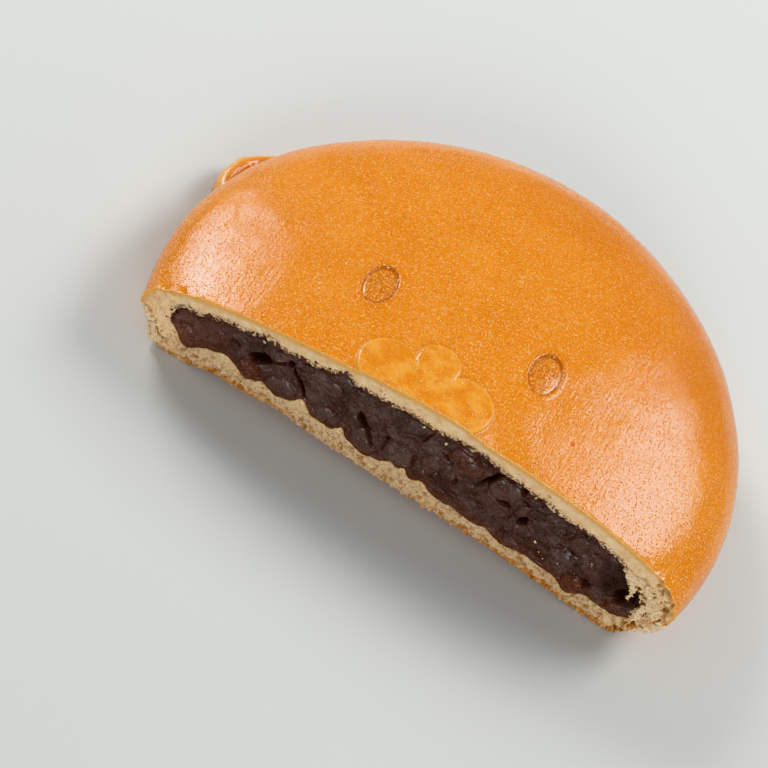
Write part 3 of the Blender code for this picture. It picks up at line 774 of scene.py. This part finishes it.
def paste_relief(flat):
    """How far the paste stands out of the cut, with marks for bean skins, their tint and deep places, where
    shade is painted.
    """
    warped = flat + WARP * np.column_stack([noise_at(flat, 2.6, 71.0), noise_at(flat, 2.6, 73.0)])
    lumps = 0.4 * noise_at(flat, 6.0, 51.0) + 0.35 * noise_at(warped, 2.8, 53.0)
    mash = 0.15 * noise_at(warped, 1.4, 55.0) + 0.07 * noise_at(flat, 0.7, 57.0)
    mash = mash + 0.03 * noise_at(flat, 0.42, 59.0)
    steps = 0.2 * smooth(0.5 + noise_at(warped, 3.4, 75.0) / 0.15)
    creases = bump(noise_at(warped, 3.0, 77.0), 0.05) * smooth(0.5 + noise_at(flat, 5.0, 79.0) / 0.3)
    groove = 0.25 * creases
    proud, skin, tint, sunk = np.zeros((4, len(flat)))
    for *form, height, redness in BEANS:
        share = ellipse(warped, *form)
        proud = np.maximum(proud, height * np.sqrt(np.maximum(1.0 - share ** 2, 0.0)))
        inner = smooth((1.0 - share) / BEAN_EDGE)
        tint = np.where(inner > skin, redness, tint)
        skin = np.maximum(skin, inner)
        groove = np.maximum(groove, 0.16 * height * bump(share - 1.03, 0.09) * (1.0 - 0.8 * skin))
    for *form, depth in HOLLOWS:
        share = ellipse(flat + 0.4 * (warped - flat), *form)
        sunk = np.maximum(sunk, depth * smooth(1.4 - share))
    out = lumps + steps + mash * (1.0 - 0.65 * skin) + proud - 0.35 - sunk - groove
    return out, skin, tint, np.clip(sunk / 1.3 + 1.4 * groove, 0.0, 1.0)


def make_filling():
    mesh = make_skin(FILLING, HOLLOW_GRADE, HOLLOW_BAND)
    rim = open_rim(mesh)
    grid = Grid(mesh, close_cut(mesh, PASTE_STEP, FILLING.inside))
    cut, flat = grid.cut, grid.flat
    x, z = flat.T
    share = smooth(distance_to(flat, rim) / 1.1)
    under_top = bump(at_cut(FILLING.top, x) - z, 1.3)
    out, skin, tint, deep = paste_relief(flat)
    left_end = smooth((-33.0 - x) / 6.0)
    right_end = smooth((x - 35.0) / 5.0) * smooth((z - 7.5) / 3.0)
    from_bottom = z - at_cut(FILLING.bottom, x)
    reddish = np.maximum(0.6 * smooth(1.0 - from_bottom / 3.0), 0.5 * left_end)
    values = {name: np.zeros(len(grid.places)) for name in ("skin", "tint", "deep")}
    values["skin"][cut] = skin * share
    values["tint"][cut] = np.where(tint < 0.0, tint, np.maximum(tint, reddish))
    # Painted shade in the cracks and hollows, under the top crumb and behind the torn flaps at the right end
    values["deep"][cut] = np.maximum.reduce([deep * share, 0.7 * under_top, 0.6 * right_end])
    shift = paste_ragged(grid.places)
    grid.places[cut, 1] += (0.15 + 0.35 * under_top) * (1.0 - share) + (0.5 * under_top - out) * share
    grid.places += shift
    grid.store()
    return make_object("bean_paste", mesh, values)


# Torn crumb: lines of lumps as x and z, with half sizes from start to end, and how far each stands out
TORN_LINES = (
    (((41.6, 17.6), (42.7, 16.3), (43.6, 14.8)), (0.8, 0.55), 0.5),
    (((43.6, 14.8), (43.9, 12.9), (43.7, 11.3)), (0.42, 0.2), 0.8),
    (((44.9, 15.4), (45.6, 13.9), (46.1, 12.2)), (0.34, 0.17), 0.6),
    (((42, 17.9), (44.4, 17), (46.8, 15.6)), (0.9, 0.9), 0.1),
    (((47.4, 14.9), (47.9, 12.8), (47.5, 10.6), (47.1, 8.8), (47.2, 7)), (0.8, 0.9), 0.25),
    (((51.3, 9.6), (51.2, 7.8), (50.4, 6.2), (49.2, 5), (48.2, 3.6)), (0.75, 0.6), 0),
    (((48.6, 13.6), (49.6, 11.4), (49.4, 8.8), (48.6, 6.4)), (0.8, 0.7), 0),
    (((-50.4, 8), (-49, 6.4), (-48.2, 4.4), (-47.7, 2.2), (-47, 0.9)), (0.6, 0.8), 0.35),
    (((-51, 8.4), (-50, 6.8), (-49.3, 5), (-48.8, 3.2), (-48.2, 1.2)), (0.45, 0.6), -0.2))
LUMP_STEP = 0.5
LUMP_SPREAD = 0.55
LUMP_LENGTHS = (0.9, 1.4)
LUMP_DEPTH = 0.6
LUMP_WIDTHS = (0.5, 0.9)
LUMP_SINK = 0.35
LUMP_JITTER = 0.3
SHRED_SEED = 21
GRAIN_SEED = 31
GRAINS = 260
END_GRAINS = 26
GRAIN_SIZES = (0.14, 0.36)
# Larger grains of paste in the crumb above it, as x, z and half size
LARGE_GRAINS = (
    (-40.3, 15.6, 0.45), (-37.8, 15.8, 0.4), (-36, 16.8, 0.35), (-31.6, 18.4, 0.35), (-23.4, 19.6, 0.35),
    (-21, 20.3, 0.35), (-18.5, 21, 0.3), (-8.6, 22.8, 0.2), (4.7, 22.4, 0.3), (31, 20.6, 0.3))
# Flecks of crumb on the paste
FLECKS = (
    (26, 11, 0.36), (-30.1, 17.7, 0.3), (27.6, 9.1, 0.15), (28.8, 8.1, 0.16), (31.3, 9.2, 0.2),
    (4.2, 20.7, 0.35), (-0.3, 21.3, 0.3), (21.4, 21.3, 0.28))


def add_lump(mesh, middle, sizes, turn, roughness, seed, fineness):
    """A closed lump with a rough surface."""
    made = bmesh.ops.create_icosphere(mesh, subdivisions=fineness, radius=1.0)["verts"]
    for vert in made:
        swell = 1.0 + roughness * noise.noise(vert.co * 1.6 + Vector((seed, 0.0, 0.0)))
        swell += 0.6 * roughness * noise.noise(vert.co * 3.7 + Vector((0.0, seed, 0.0)))
        local = Vector([part * size * swell for part, size in zip(vert.co, sizes)])
        vert.co = middle + turn @ local


def any_turn(draw):
    """A random turn about the direction that the cut faces."""
    return Matrix.Rotation(draw.uniform(0.0, math.tau), 3, "Y")


def make_shreds():
    """Crumb torn over the end of the paste, and the knobs of the torn ends."""
    draw = random.Random(SHRED_SEED)
    mesh = bmesh.new()
    for line, sizes, proud in TORN_LINES:
        for first, second in zip(line, line[1:]):
            steps = max(1, round(math.dist(first, second) / LUMP_STEP))
            for step in range(steps):
                share = (line.index(first) + step / steps) / (len(line) - 1)
                size = sizes[0] + (sizes[1] - sizes[0]) * share
                spread = LUMP_SPREAD * size
                middle = Vector(first).lerp(Vector(second), step / steps)
                middle += Vector((draw.uniform(-spread, spread), draw.uniform(-spread, spread)))
                jitter = draw.uniform(-LUMP_JITTER, LUMP_JITTER)
                spot = Vector((middle.x, CUT_Y - proud + LUMP_SINK + jitter, middle.y))
                spot.z = max(spot.z, size * 0.7)
                turn = any_turn(draw)
                length = draw.uniform(*LUMP_LENGTHS)
                width = draw.uniform(*LUMP_WIDTHS)
                shape = (size * length, size * LUMP_DEPTH, size * width)
                add_lump(mesh, spot, shape, turn, 0.8, draw.uniform(0.0, 99.0), 3)
    for x, z, size in FLECKS:
        shape = (size * 0.9, size * LUMP_DEPTH, size * 0.55)
        add_lump(mesh, Vector((x, CUT_Y - 0.1, z)), shape, any_turn(draw), 1.1, x, 2)
    plain = {"under_crust": ALL_CRUMB, "toast": 0.0, "pore_shade": 0.0, "paste_smear_and_slit_shade": 0.0, "low": 0.0, "pale": 1.0}
    return make_object("torn_crumb", mesh, plain)


def make_grains():
    """Grains of paste that stick to the crumb above it."""
    draw = random.Random(GRAIN_SEED)
    mesh = bmesh.new()
    places = list(LARGE_GRAINS)
    for _ in range(GRAINS):
        x = draw.uniform(-45.0, 42.0)
        z = at_cut(FILLING.top, np.array([x]))[0] + draw.uniform(-0.2, 0.8) * draw.random()
        size = GRAIN_SIZES[0] + (GRAIN_SIZES[1] - GRAIN_SIZES[0]) * draw.random() ** 2
        places.append((x, z, size))
    for _ in range(END_GRAINS):
        places.append((draw.uniform(-46.7, -45.6), draw.uniform(8.8, 13.6), draw.uniform(*GRAIN_SIZES) * 0.8))
    for x, z, size in places:
        turn = any_turn(draw)
        sizes = (size * draw.uniform(1.0, 1.5), size * 0.8, size)
        add_lump(mesh, Vector((x, CUT_Y + 0.12, z)), sizes, turn, 0.7, 5.1 * x, 2)
    return make_object("paste_grains", mesh, {"skin": 0.0, "tint": 0.8, "deep": 0.0})


def lug_profile():
    """Half outline of a lug: flat below, round at its edge, with a thin lip round the dimple in its top."""
    profile = [(LUG_RADIUS - LUG_EDGE, LUG_FLOOR)]
    middle = (LUG_HEIGHT + LUG_FLOOR) / 2.0
    half = (LUG_HEIGHT - LUG_FLOOR) / 2.0
    for step in range(1, LUG_EDGE_STEPS):
        turn = math.pi * (step / LUG_EDGE_STEPS - 0.5)
        profile.append((LUG_RADIUS - LUG_EDGE * (1.0 - math.cos(turn)), middle + half * math.sin(turn)))
    for step in range(LUG_DIMPLE_STEPS):
        inward = step / LUG_DIMPLE_STEPS
        depth = LUG_DIMPLE * float(smooth(inward / LUG_DIMPLE_SLOPE))
        profile.append((LUG_DIMPLE_RADIUS * (1.0 - inward), LUG_HEIGHT - depth))
    return profile


def make_lug(name, side):
    """A turned body, a little uneven; its inner part lies in the bun's side."""
    mesh = bmesh.new()
    rows = []
    profile = lug_profile()
    for radius, z in profile:
        row = []
        for step in range(LUG_SECTORS):
            turn = math.tau * step / LUG_SECTORS
            spot = Vector((radius * math.cos(turn), radius * math.sin(turn), z))
            shifts = [Vector((0.0, 0.0, LUG_SWAY_SHIFT * axis)) for axis in range(3)]
            sway = Vector([noise.noise(spot / LUG_SWAY_GRAIN + shift) for shift in shifts])
            sway *= LUG_SWAY * min(z - LUG_FLOOR, 1.0)
            row.append(mesh.verts.new(spot + sway + Vector((side * LUG_SPREAD, LUG_Y, 0.0))))
        rows.append(row)
    for lower, upper in zip(rows, rows[1:]):
        for step in range(LUG_SECTORS):
            after = (step + 1) % LUG_SECTORS
            mesh.faces.new((lower[step], lower[after], upper[after], upper[step]))
    mesh.faces.new(rows[0])
    mesh.faces.new(rows[-1])
    # lip marks where the crust is painted paler round the lug's lip, a painted reflection
    lip = [bump(radius - LUG_RADIUS + 0.8, 0.8) * smooth((z - 3.0) / 2.5) for radius, z in profile]
    values = {"in_oval": FAR_OUTSIDE, "in_patch": FAR_OUTSIDE, "blister": 0.0, "back_shade": 0.0,
              "lip": np.repeat(lip, LUG_SECTORS)}
    return make_object(name, mesh, values)


def link(name, data):
    """An object in the scene for the given data."""
    made = bpy.data.objects.new(name, data)
    bpy.context.scene.collection.objects.link(made)
    return made


def make_object(name, mesh, values):
    """A smooth object in metres, with the values stored at its corners."""
    bmesh.ops.recalc_face_normals(mesh, faces=mesh.faces)
    for face in mesh.faces:
        face.smooth = True
    data = bpy.data.meshes.new(name)
    mesh.to_mesh(data)
    mesh.free()
    data.transform(Matrix.Scale(MM, 4))
    for key, numbers in values.items():
        attribute = data.attributes.new(key, "FLOAT", "POINT")
        attribute.data.foreach_set("value", np.full(len(data.vertices), numbers, np.float32))
    return link(name, data)


class Look:
    """A material's node tree, built up line by line."""

    def __init__(self, name):
        self.material = bpy.data.materials.new(name)
        self.material.use_nodes = True
        self.tree = self.material.node_tree
        self.shader = self.tree.nodes["Principled BSDF"]

    def put(self, socket, value):
        if isinstance(value, bpy.types.NodeSocket):
            self.tree.links.new(value, socket)
        else:
            socket.default_value = (*value, 1.0) if socket.type == "RGBA" else value

    def node(self, kind, inputs=None, **settings):
        made = self.tree.nodes.new("ShaderNode" + kind)
        for name, value in settings.items():
            setattr(made, name, value)
        for name, value in (inputs or {}).items():
            self.put(made.inputs[name], value)
        return made

    def place(self):
        """Millimetres in the part's own frame."""
        inputs = {0: self.node("TexCoord").outputs["Object"], 1: (1.0 / MM,) * 3}
        return self.node("VectorMath", inputs, operation="MULTIPLY").outputs[0]

    def value(self, name):
        return self.node("Attribute", attribute_name=name).outputs["Fac"]

    def noise(self, place, grain, detail=2.0, roughness=0.5):
        return self.node("TexNoise", {"Vector": place, "Scale": 1.0 / grain, "Detail": detail,
                                      "Roughness": roughness}).outputs["Fac"]

    def cells(self, place, grain):
        return self.node("TexVoronoi", {"Vector": place, "Scale": 1.0 / grain}).outputs["Distance"]

    def span(self, value, low, high, to_low=0.0, to_high=1.0):
        return self.node("MapRange", {"Value": value, "From Min": low, "From Max": high,
                                      "To Min": to_low, "To Max": to_high}).outputs["Result"]

    def math(self, operation, first, second=0.0):
        return self.node("Math", {0: first, 1: second}, operation=operation).outputs[0]

    def product(self, first, second):
        return self.math("MULTIPLY", first, second)

    def mix(self, share, first, second):
        inputs = {"Factor": share, "A": first, "B": second}
        return self.node("Mix", inputs, data_type="RGBA").outputs["Result"]

    def tinge(self, colour, tint, value, low, high, most=1.0):
        """Brings a tint in as a value runs from low to high."""
        return self.mix(self.span(value, low, high, 0.0, most), colour, tint)

    def bump(self, height, distance, strength=1.0, before=None):
        inputs = {"Height": height, "Distance": distance * MM, "Strength": strength}
        if before is not None:
            inputs["Normal"] = before
        return self.node("Bump", inputs).outputs["Normal"]

    def surface(self, **inputs):
        for name, value in inputs.items():
            self.put(self.shader.inputs[name.replace("_", " ")], value)


def crust_look():
    look = Look("crust")
    place = look.place()
    oval = look.value("in_oval")
    patch = look.value("in_patch")
    broad = look.span(look.noise(place, 13.0, 3.0), 0.35, 0.65)
    colour = look.mix(broad, (0.73, 0.214, 0.008), (0.80, 0.262, 0.020))

    # Raised patch: mottled, with a pale rim that is a painted highlight, and painted shade in the low moat
    # beside it
    mottle = look.span(look.noise(place, 3.0, 4.0, 0.6), 0.42, 0.62)
    mottled = look.mix(mottle, (0.75, 0.23, 0.012), (0.94, 0.40, 0.05))
    # Painted highlight along the patch's rounded rim
    raised = look.tinge(mottled, (1.0, 0.50, 0.09), patch, 0.7, 0.4, 0.6)
    # Painted shade in the moat beside the patch
    colour = look.tinge(colour, (0.60, 0.17, 0.012), patch, -0.7, -0.05, 0.4)
    colour = look.tinge(colour, raised, patch, 0.0, 0.25)

    # Pressed ovals: speckled, with painted shade in the groove round each and a darker halo
    speckle = look.span(look.noise(place, 0.45, 3.0, 0.7), 0.42, 0.6)
    floor = look.mix(speckle, (0.49, 0.128, 0.008), (0.74, 0.245, 0.025))
    colour = look.tinge(colour, (0.60, 0.16, 0.008), oval, -1.3, -0.1, 0.5)
    colour = look.tinge(colour, floor, oval, 0.1, 0.5)
    # Painted shade in the groove round the oval
    edge = look.math("ABSOLUTE", look.math("SUBTRACT", oval, 0.22))
    colour = look.tinge(colour, (0.40, 0.09, 0.008), edge, 0.28, 0.08, 0.75)

    # Fine pale and dark freckles, weaker on the patch, the pale ones partly painted glints; and small dots of
    # painted shade in the pits
    plain = look.span(patch, -0.1, 0.4, 1.0, 0.25)
    # Pale freckles: partly the crust's own grain, partly painted glints
    pale_freckles_and_glints = look.span(look.noise(place, 0.36, 3.0, 0.6), 0.52, 0.66, 0.0, 0.8)
    dark = look.span(look.noise(place, 0.45, 4.0, 0.7), 0.48, 0.34, 0.0, 0.7)
    dots = look.cells(place, 0.44)
    colour = look.mix(look.product(pale_freckles_and_glints, plain), colour, (1.0, 0.56, 0.18))
    colour = look.mix(look.product(dark, plain), colour, (0.50, 0.13, 0.008))
    # Painted shade in the pits of the grain, where the dots sink in the bump below
    colour = look.tinge(colour, (0.58, 0.16, 0.010), dots, 0.32, 0.1, 0.4)

    # Painted shade on the back, the blister, a painted reflection on the lip of the lugs, and the cut edge
    colour = look.mix(look.product(look.value("back_shade"), 0.35), colour, (0.50, 0.115, 0.0))
    colour = look.tinge(colour, (0.70, 0.13, 0.012), look.value("blister"), 0.0, 0.4, 0.8)
    # Painted reflection on the lip of the lugs
    colour = look.mix(look.product(look.value("lip"), 0.75), colour, (0.95, 0.52, 0.17))
    behind = look.node("SeparateXYZ", {"Vector": place}).outputs["Y"]
    colour = look.tinge(colour, (0.88, 0.52, 0.18), behind, CUT_Y + 0.4, CUT_Y + 0.1, 0.7)

    grain = look.bump(look.span(dots, 0.08, 0.36), 0.06)
    grain = look.bump(look.noise(place, 0.3, 2.0, 0.6), 0.035, 1.0, grain)
    grain = look.bump(look.noise(place, 1.6, 3.0), 0.10, 0.38, grain)
    streak = {"Vector": place, "Rotation": (0.0, 0.0, math.radians(22)), "Scale": (2.2, 0.35, 1.0)}
    streaks = look.node("Mapping", streak, vector_type="POINT").outputs["Vector"]
    grain = look.bump(look.noise(streaks, 1.2, 3.0), 0.16, 0.35, grain)
    look.surface(Base_Color=colour, Roughness=0.125, Specular_IOR_Level=0.58, Normal=grain)
    return look.material


def crumb_look():
    look = Look("crumb")
    place = look.place()
    depth = look.value("under_crust")
    low = look.value("low")
    toast = look.value("toast")
    patchy = look.span(look.noise(place, 1.2, 3.0), 0.3, 0.7)
    colour = look.mix(patchy, (0.785, 0.505, 0.262), (0.91, 0.69, 0.43))
    # Darker low strip: partly its own toasted tone, partly painted shade
    colour = look.mix(look.product(low, 0.7), colour, (0.72, 0.52, 0.32))
    colour = look.mix(look.product(look.value("pale"), 0.6), colour, (1.0, 0.74, 0.48))
    specks = look.span(look.noise(place, 0.7, 3.0, 0.7), 0.51, 0.62, 0.0, 0.75)
    colour = look.mix(look.product(low, specks), colour, (0.38, 0.19, 0.075))

    # Browner towards the crust and at the toasted foot
    colour = look.tinge(colour, (0.78, 0.45, 0.18), depth, 1.2, 0.5)
    colour = look.tinge(colour, (0.86, 0.42, 0.10), depth, 0.35, 0.12)
    ragged = look.product(toast, look.span(look.noise(place, 0.9, 3.0, 0.6), 0.35, 0.6))
    colour = look.tinge(colour, (0.74, 0.37, 0.12), toast, 0.2, 1.0, 0.35)
    colour = look.tinge(colour, (0.52, 0.19, 0.04), ragged, 0.15, 0.8, 0.9)

    # Smears of paste, painted shade in the slits beside the torn flaps, and painted shade in the pores
    smear = look.product(look.value("paste_smear_and_slit_shade"), look.span(look.noise(place, 0.45, 3.0, 0.7), 0.44, 0.56))
    colour = look.tinge(colour, (0.15, 0.075, 0.05), smear, 0.1, 0.55, 0.85)
    # Painted shade in the pores and the pits between the clumps
    colour = look.tinge(colour, (0.42, 0.22, 0.08), look.value("pore_shade"), 0.1, 0.6, 0.7)
    grain = look.bump(look.noise(place, 0.35, 3.0, 0.7), 0.2)
    look.surface(Base_Color=colour, Roughness=0.85, Specular_IOR_Level=0.2, Normal=grain,
                 Subsurface_Weight=0.2, Subsurface_Radius=(1.0, 0.6, 0.3), Subsurface_Scale=0.6 * MM)
    return look.material


def paste_look():
    look = Look("bean_paste")
    place = look.place()
    tint = look.value("tint")
    deep = look.value("deep")
    patchy = look.span(look.noise(place, 4.0, 4.0, 0.55), 0.38, 0.62)
    colour = look.mix(patchy, (0.050, 0.026, 0.022), (0.132, 0.083, 0.074))
    reddish = look.noise(place, 2.2, 4.0, 0.6)
    colour = look.tinge(colour, (0.14, 0.050, 0.036), reddish, 0.50, 0.70, 0.6)
    colour = look.mix(look.product(tint, 0.7), colour, (0.17, 0.045, 0.022))
    mash = look.noise(place, 0.6, 4.0, 0.7)
    colour = look.tinge(colour, (0.045, 0.020, 0.015), mash, 0.56, 0.40, 0.5)
    colour = look.tinge(colour, (0.20, 0.125, 0.10), mash, 0.54, 0.66, 0.5)
    # Lighter grey on the smooth beans: partly their own skins, partly painted sheen
    bean_skin_and_sheen = look.product(look.value("skin"), look.math("SUBTRACT", 0.6, tint))
    colour = look.mix(bean_skin_and_sheen, colour, (0.130, 0.082, 0.070))
    # Painted shade in the cracks and hollows, under the crumb and behind the torn flaps
    colour = look.tinge(colour, (0.012, 0.005, 0.004), deep, 0.1, 0.8, 0.85)

    # Moist spots that glint
    spots = look.span(look.noise(place, 2.2, 3.0), 0.52, 0.62)
    grain = look.bump(look.product(look.noise(place, 0.26, 2.0, 0.7), spots), 0.3)
    grain = look.bump(look.noise(place, 0.5, 3.0, 0.6), 0.06, 1.0, grain)
    rough = look.span(spots, 0.0, 1.0, 0.34, 0.16)
    shine = look.span(deep, 0.1, 0.8, 0.6, 0.15)
    look.surface(Base_Color=colour, Roughness=rough, Specular_IOR_Level=shine, Normal=grain)
    return look.material


def floor_look():
    look = Look("floor")
    look.surface(Base_Color=(0.61, 0.62, 0.60), Roughness=0.7, Specular_IOR_Level=0.3)
    return look.material


def direction(azimuth, elevation):
    """A unit vector: azimuth from +Y towards +X, elevation over the table, in degrees."""
    a, e = math.radians(azimuth), math.radians(elevation)
    return Vector((math.sin(a) * math.cos(e), math.cos(a) * math.cos(e), math.sin(e)))


# Area lights: azimuth, elevation, distance, size, power and roll
LIGHTS = {
    "window_right": (46, 45, 0.7, (0.31, 0.32), 3.0, 12),
    "window_left": (-55, 30, 0.7, (0.26, 0.33), 2.2, 0),
    "window_left_pane": (-59, 36, 0.7, (0.14, 0.14), 0.8, 0),
    "front_fill": (165, 28, 0.9, (0.4, 0.3), 3.3, 0),
}


def add_light(name, azimuth, elevation, distance, size, power, roll):
    data = bpy.data.lights.new(name, "AREA")
    data.shape = "RECTANGLE"
    data.size, data.size_y = size
    data.energy = power
    lamp = link(name, data)
    lamp.location = direction(azimuth, elevation) * distance
    aim = direction(azimuth, elevation).to_track_quat("Z", "Y").to_matrix()
    lamp.rotation_euler = (aim @ Matrix.Rotation(math.radians(roll), 3, "Z")).to_euler()


# Camera, fitted to the photograph (metres)
CAMERA_PLACE = (-0.009257, -0.197879, 0.254408)
CAMERA_RIGHT = (0.8445, 0.4216, 0.3301)
CAMERA_UP = (-0.5355, 0.6633, 0.5227)
CAMERA_BACK = (0.0014, -0.6183, 0.7860)
CAMERA_LENS = 84.375
CAMERA_SENSOR = 36.0
CAMERA_NEAR = 0.01
FLOOR_SIZE = 1.5


def add_camera():
    data = bpy.data.cameras.new("camera")
    data.lens = CAMERA_LENS
    data.sensor_width = CAMERA_SENSOR
    data.clip_start = CAMERA_NEAR
    camera = link("camera", data)
    axes = Matrix((CAMERA_RIGHT, CAMERA_UP, CAMERA_BACK)).transposed()
    camera.matrix_world = Matrix.LocRotScale(Vector(CAMERA_PLACE), axes.to_quaternion(), None)
    bpy.context.scene.camera = camera


def add_floor():
    data = bpy.data.meshes.new("floor")
    corners = ((-1, -1), (1, -1), (1, 1), (-1, 1))
    data.from_pydata([(a * FLOOR_SIZE, b * FLOOR_SIZE, 0.0) for a, b in corners], [], [(0, 1, 2, 3)])
    data.materials.append(floor_look())
    link("floor", data)


def add_world():
    world = bpy.data.worlds.new("studio")
    world.use_nodes = True
    background = world.node_tree.nodes["Background"]
    background.inputs["Color"].default_value = (0.95, 0.98, 1.0, 1.0)
    background.inputs["Strength"].default_value = 0.31
    bpy.context.scene.world = world


crust = crust_look()
crumb = crumb_look()
paste = paste_look()
bread = make_bread()
bread.data.set_sharp_from_angle(angle=math.radians(SHARP_ANGLE))
filling = make_filling()
pieces = (
    (bread, "crust", (crust, crumb)),
    (filling, "bean_paste", (paste,)),
    (make_shreds(), "crust", (crumb,)),
    (make_grains(), "bean_paste", (paste,)),
    (make_lug("lug_left", -1), "crust", (crust,)),
    (make_lug("lug_right", 1), "crust", (crust,)))
for piece, slot, looks in pieces:
    for material in looks:
        piece.data.materials.append(material)
    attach(piece, "root")
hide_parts("bread")
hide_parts("bean_filling")
add_floor()
add_world()
add_camera()
for name, settings in LIGHTS.items():
    add_light(name, *settings)
bpy.context.scene.view_settings.view_transform = "Khronos PBR Neutral"
bpy.context.scene.view_settings.look = "None"
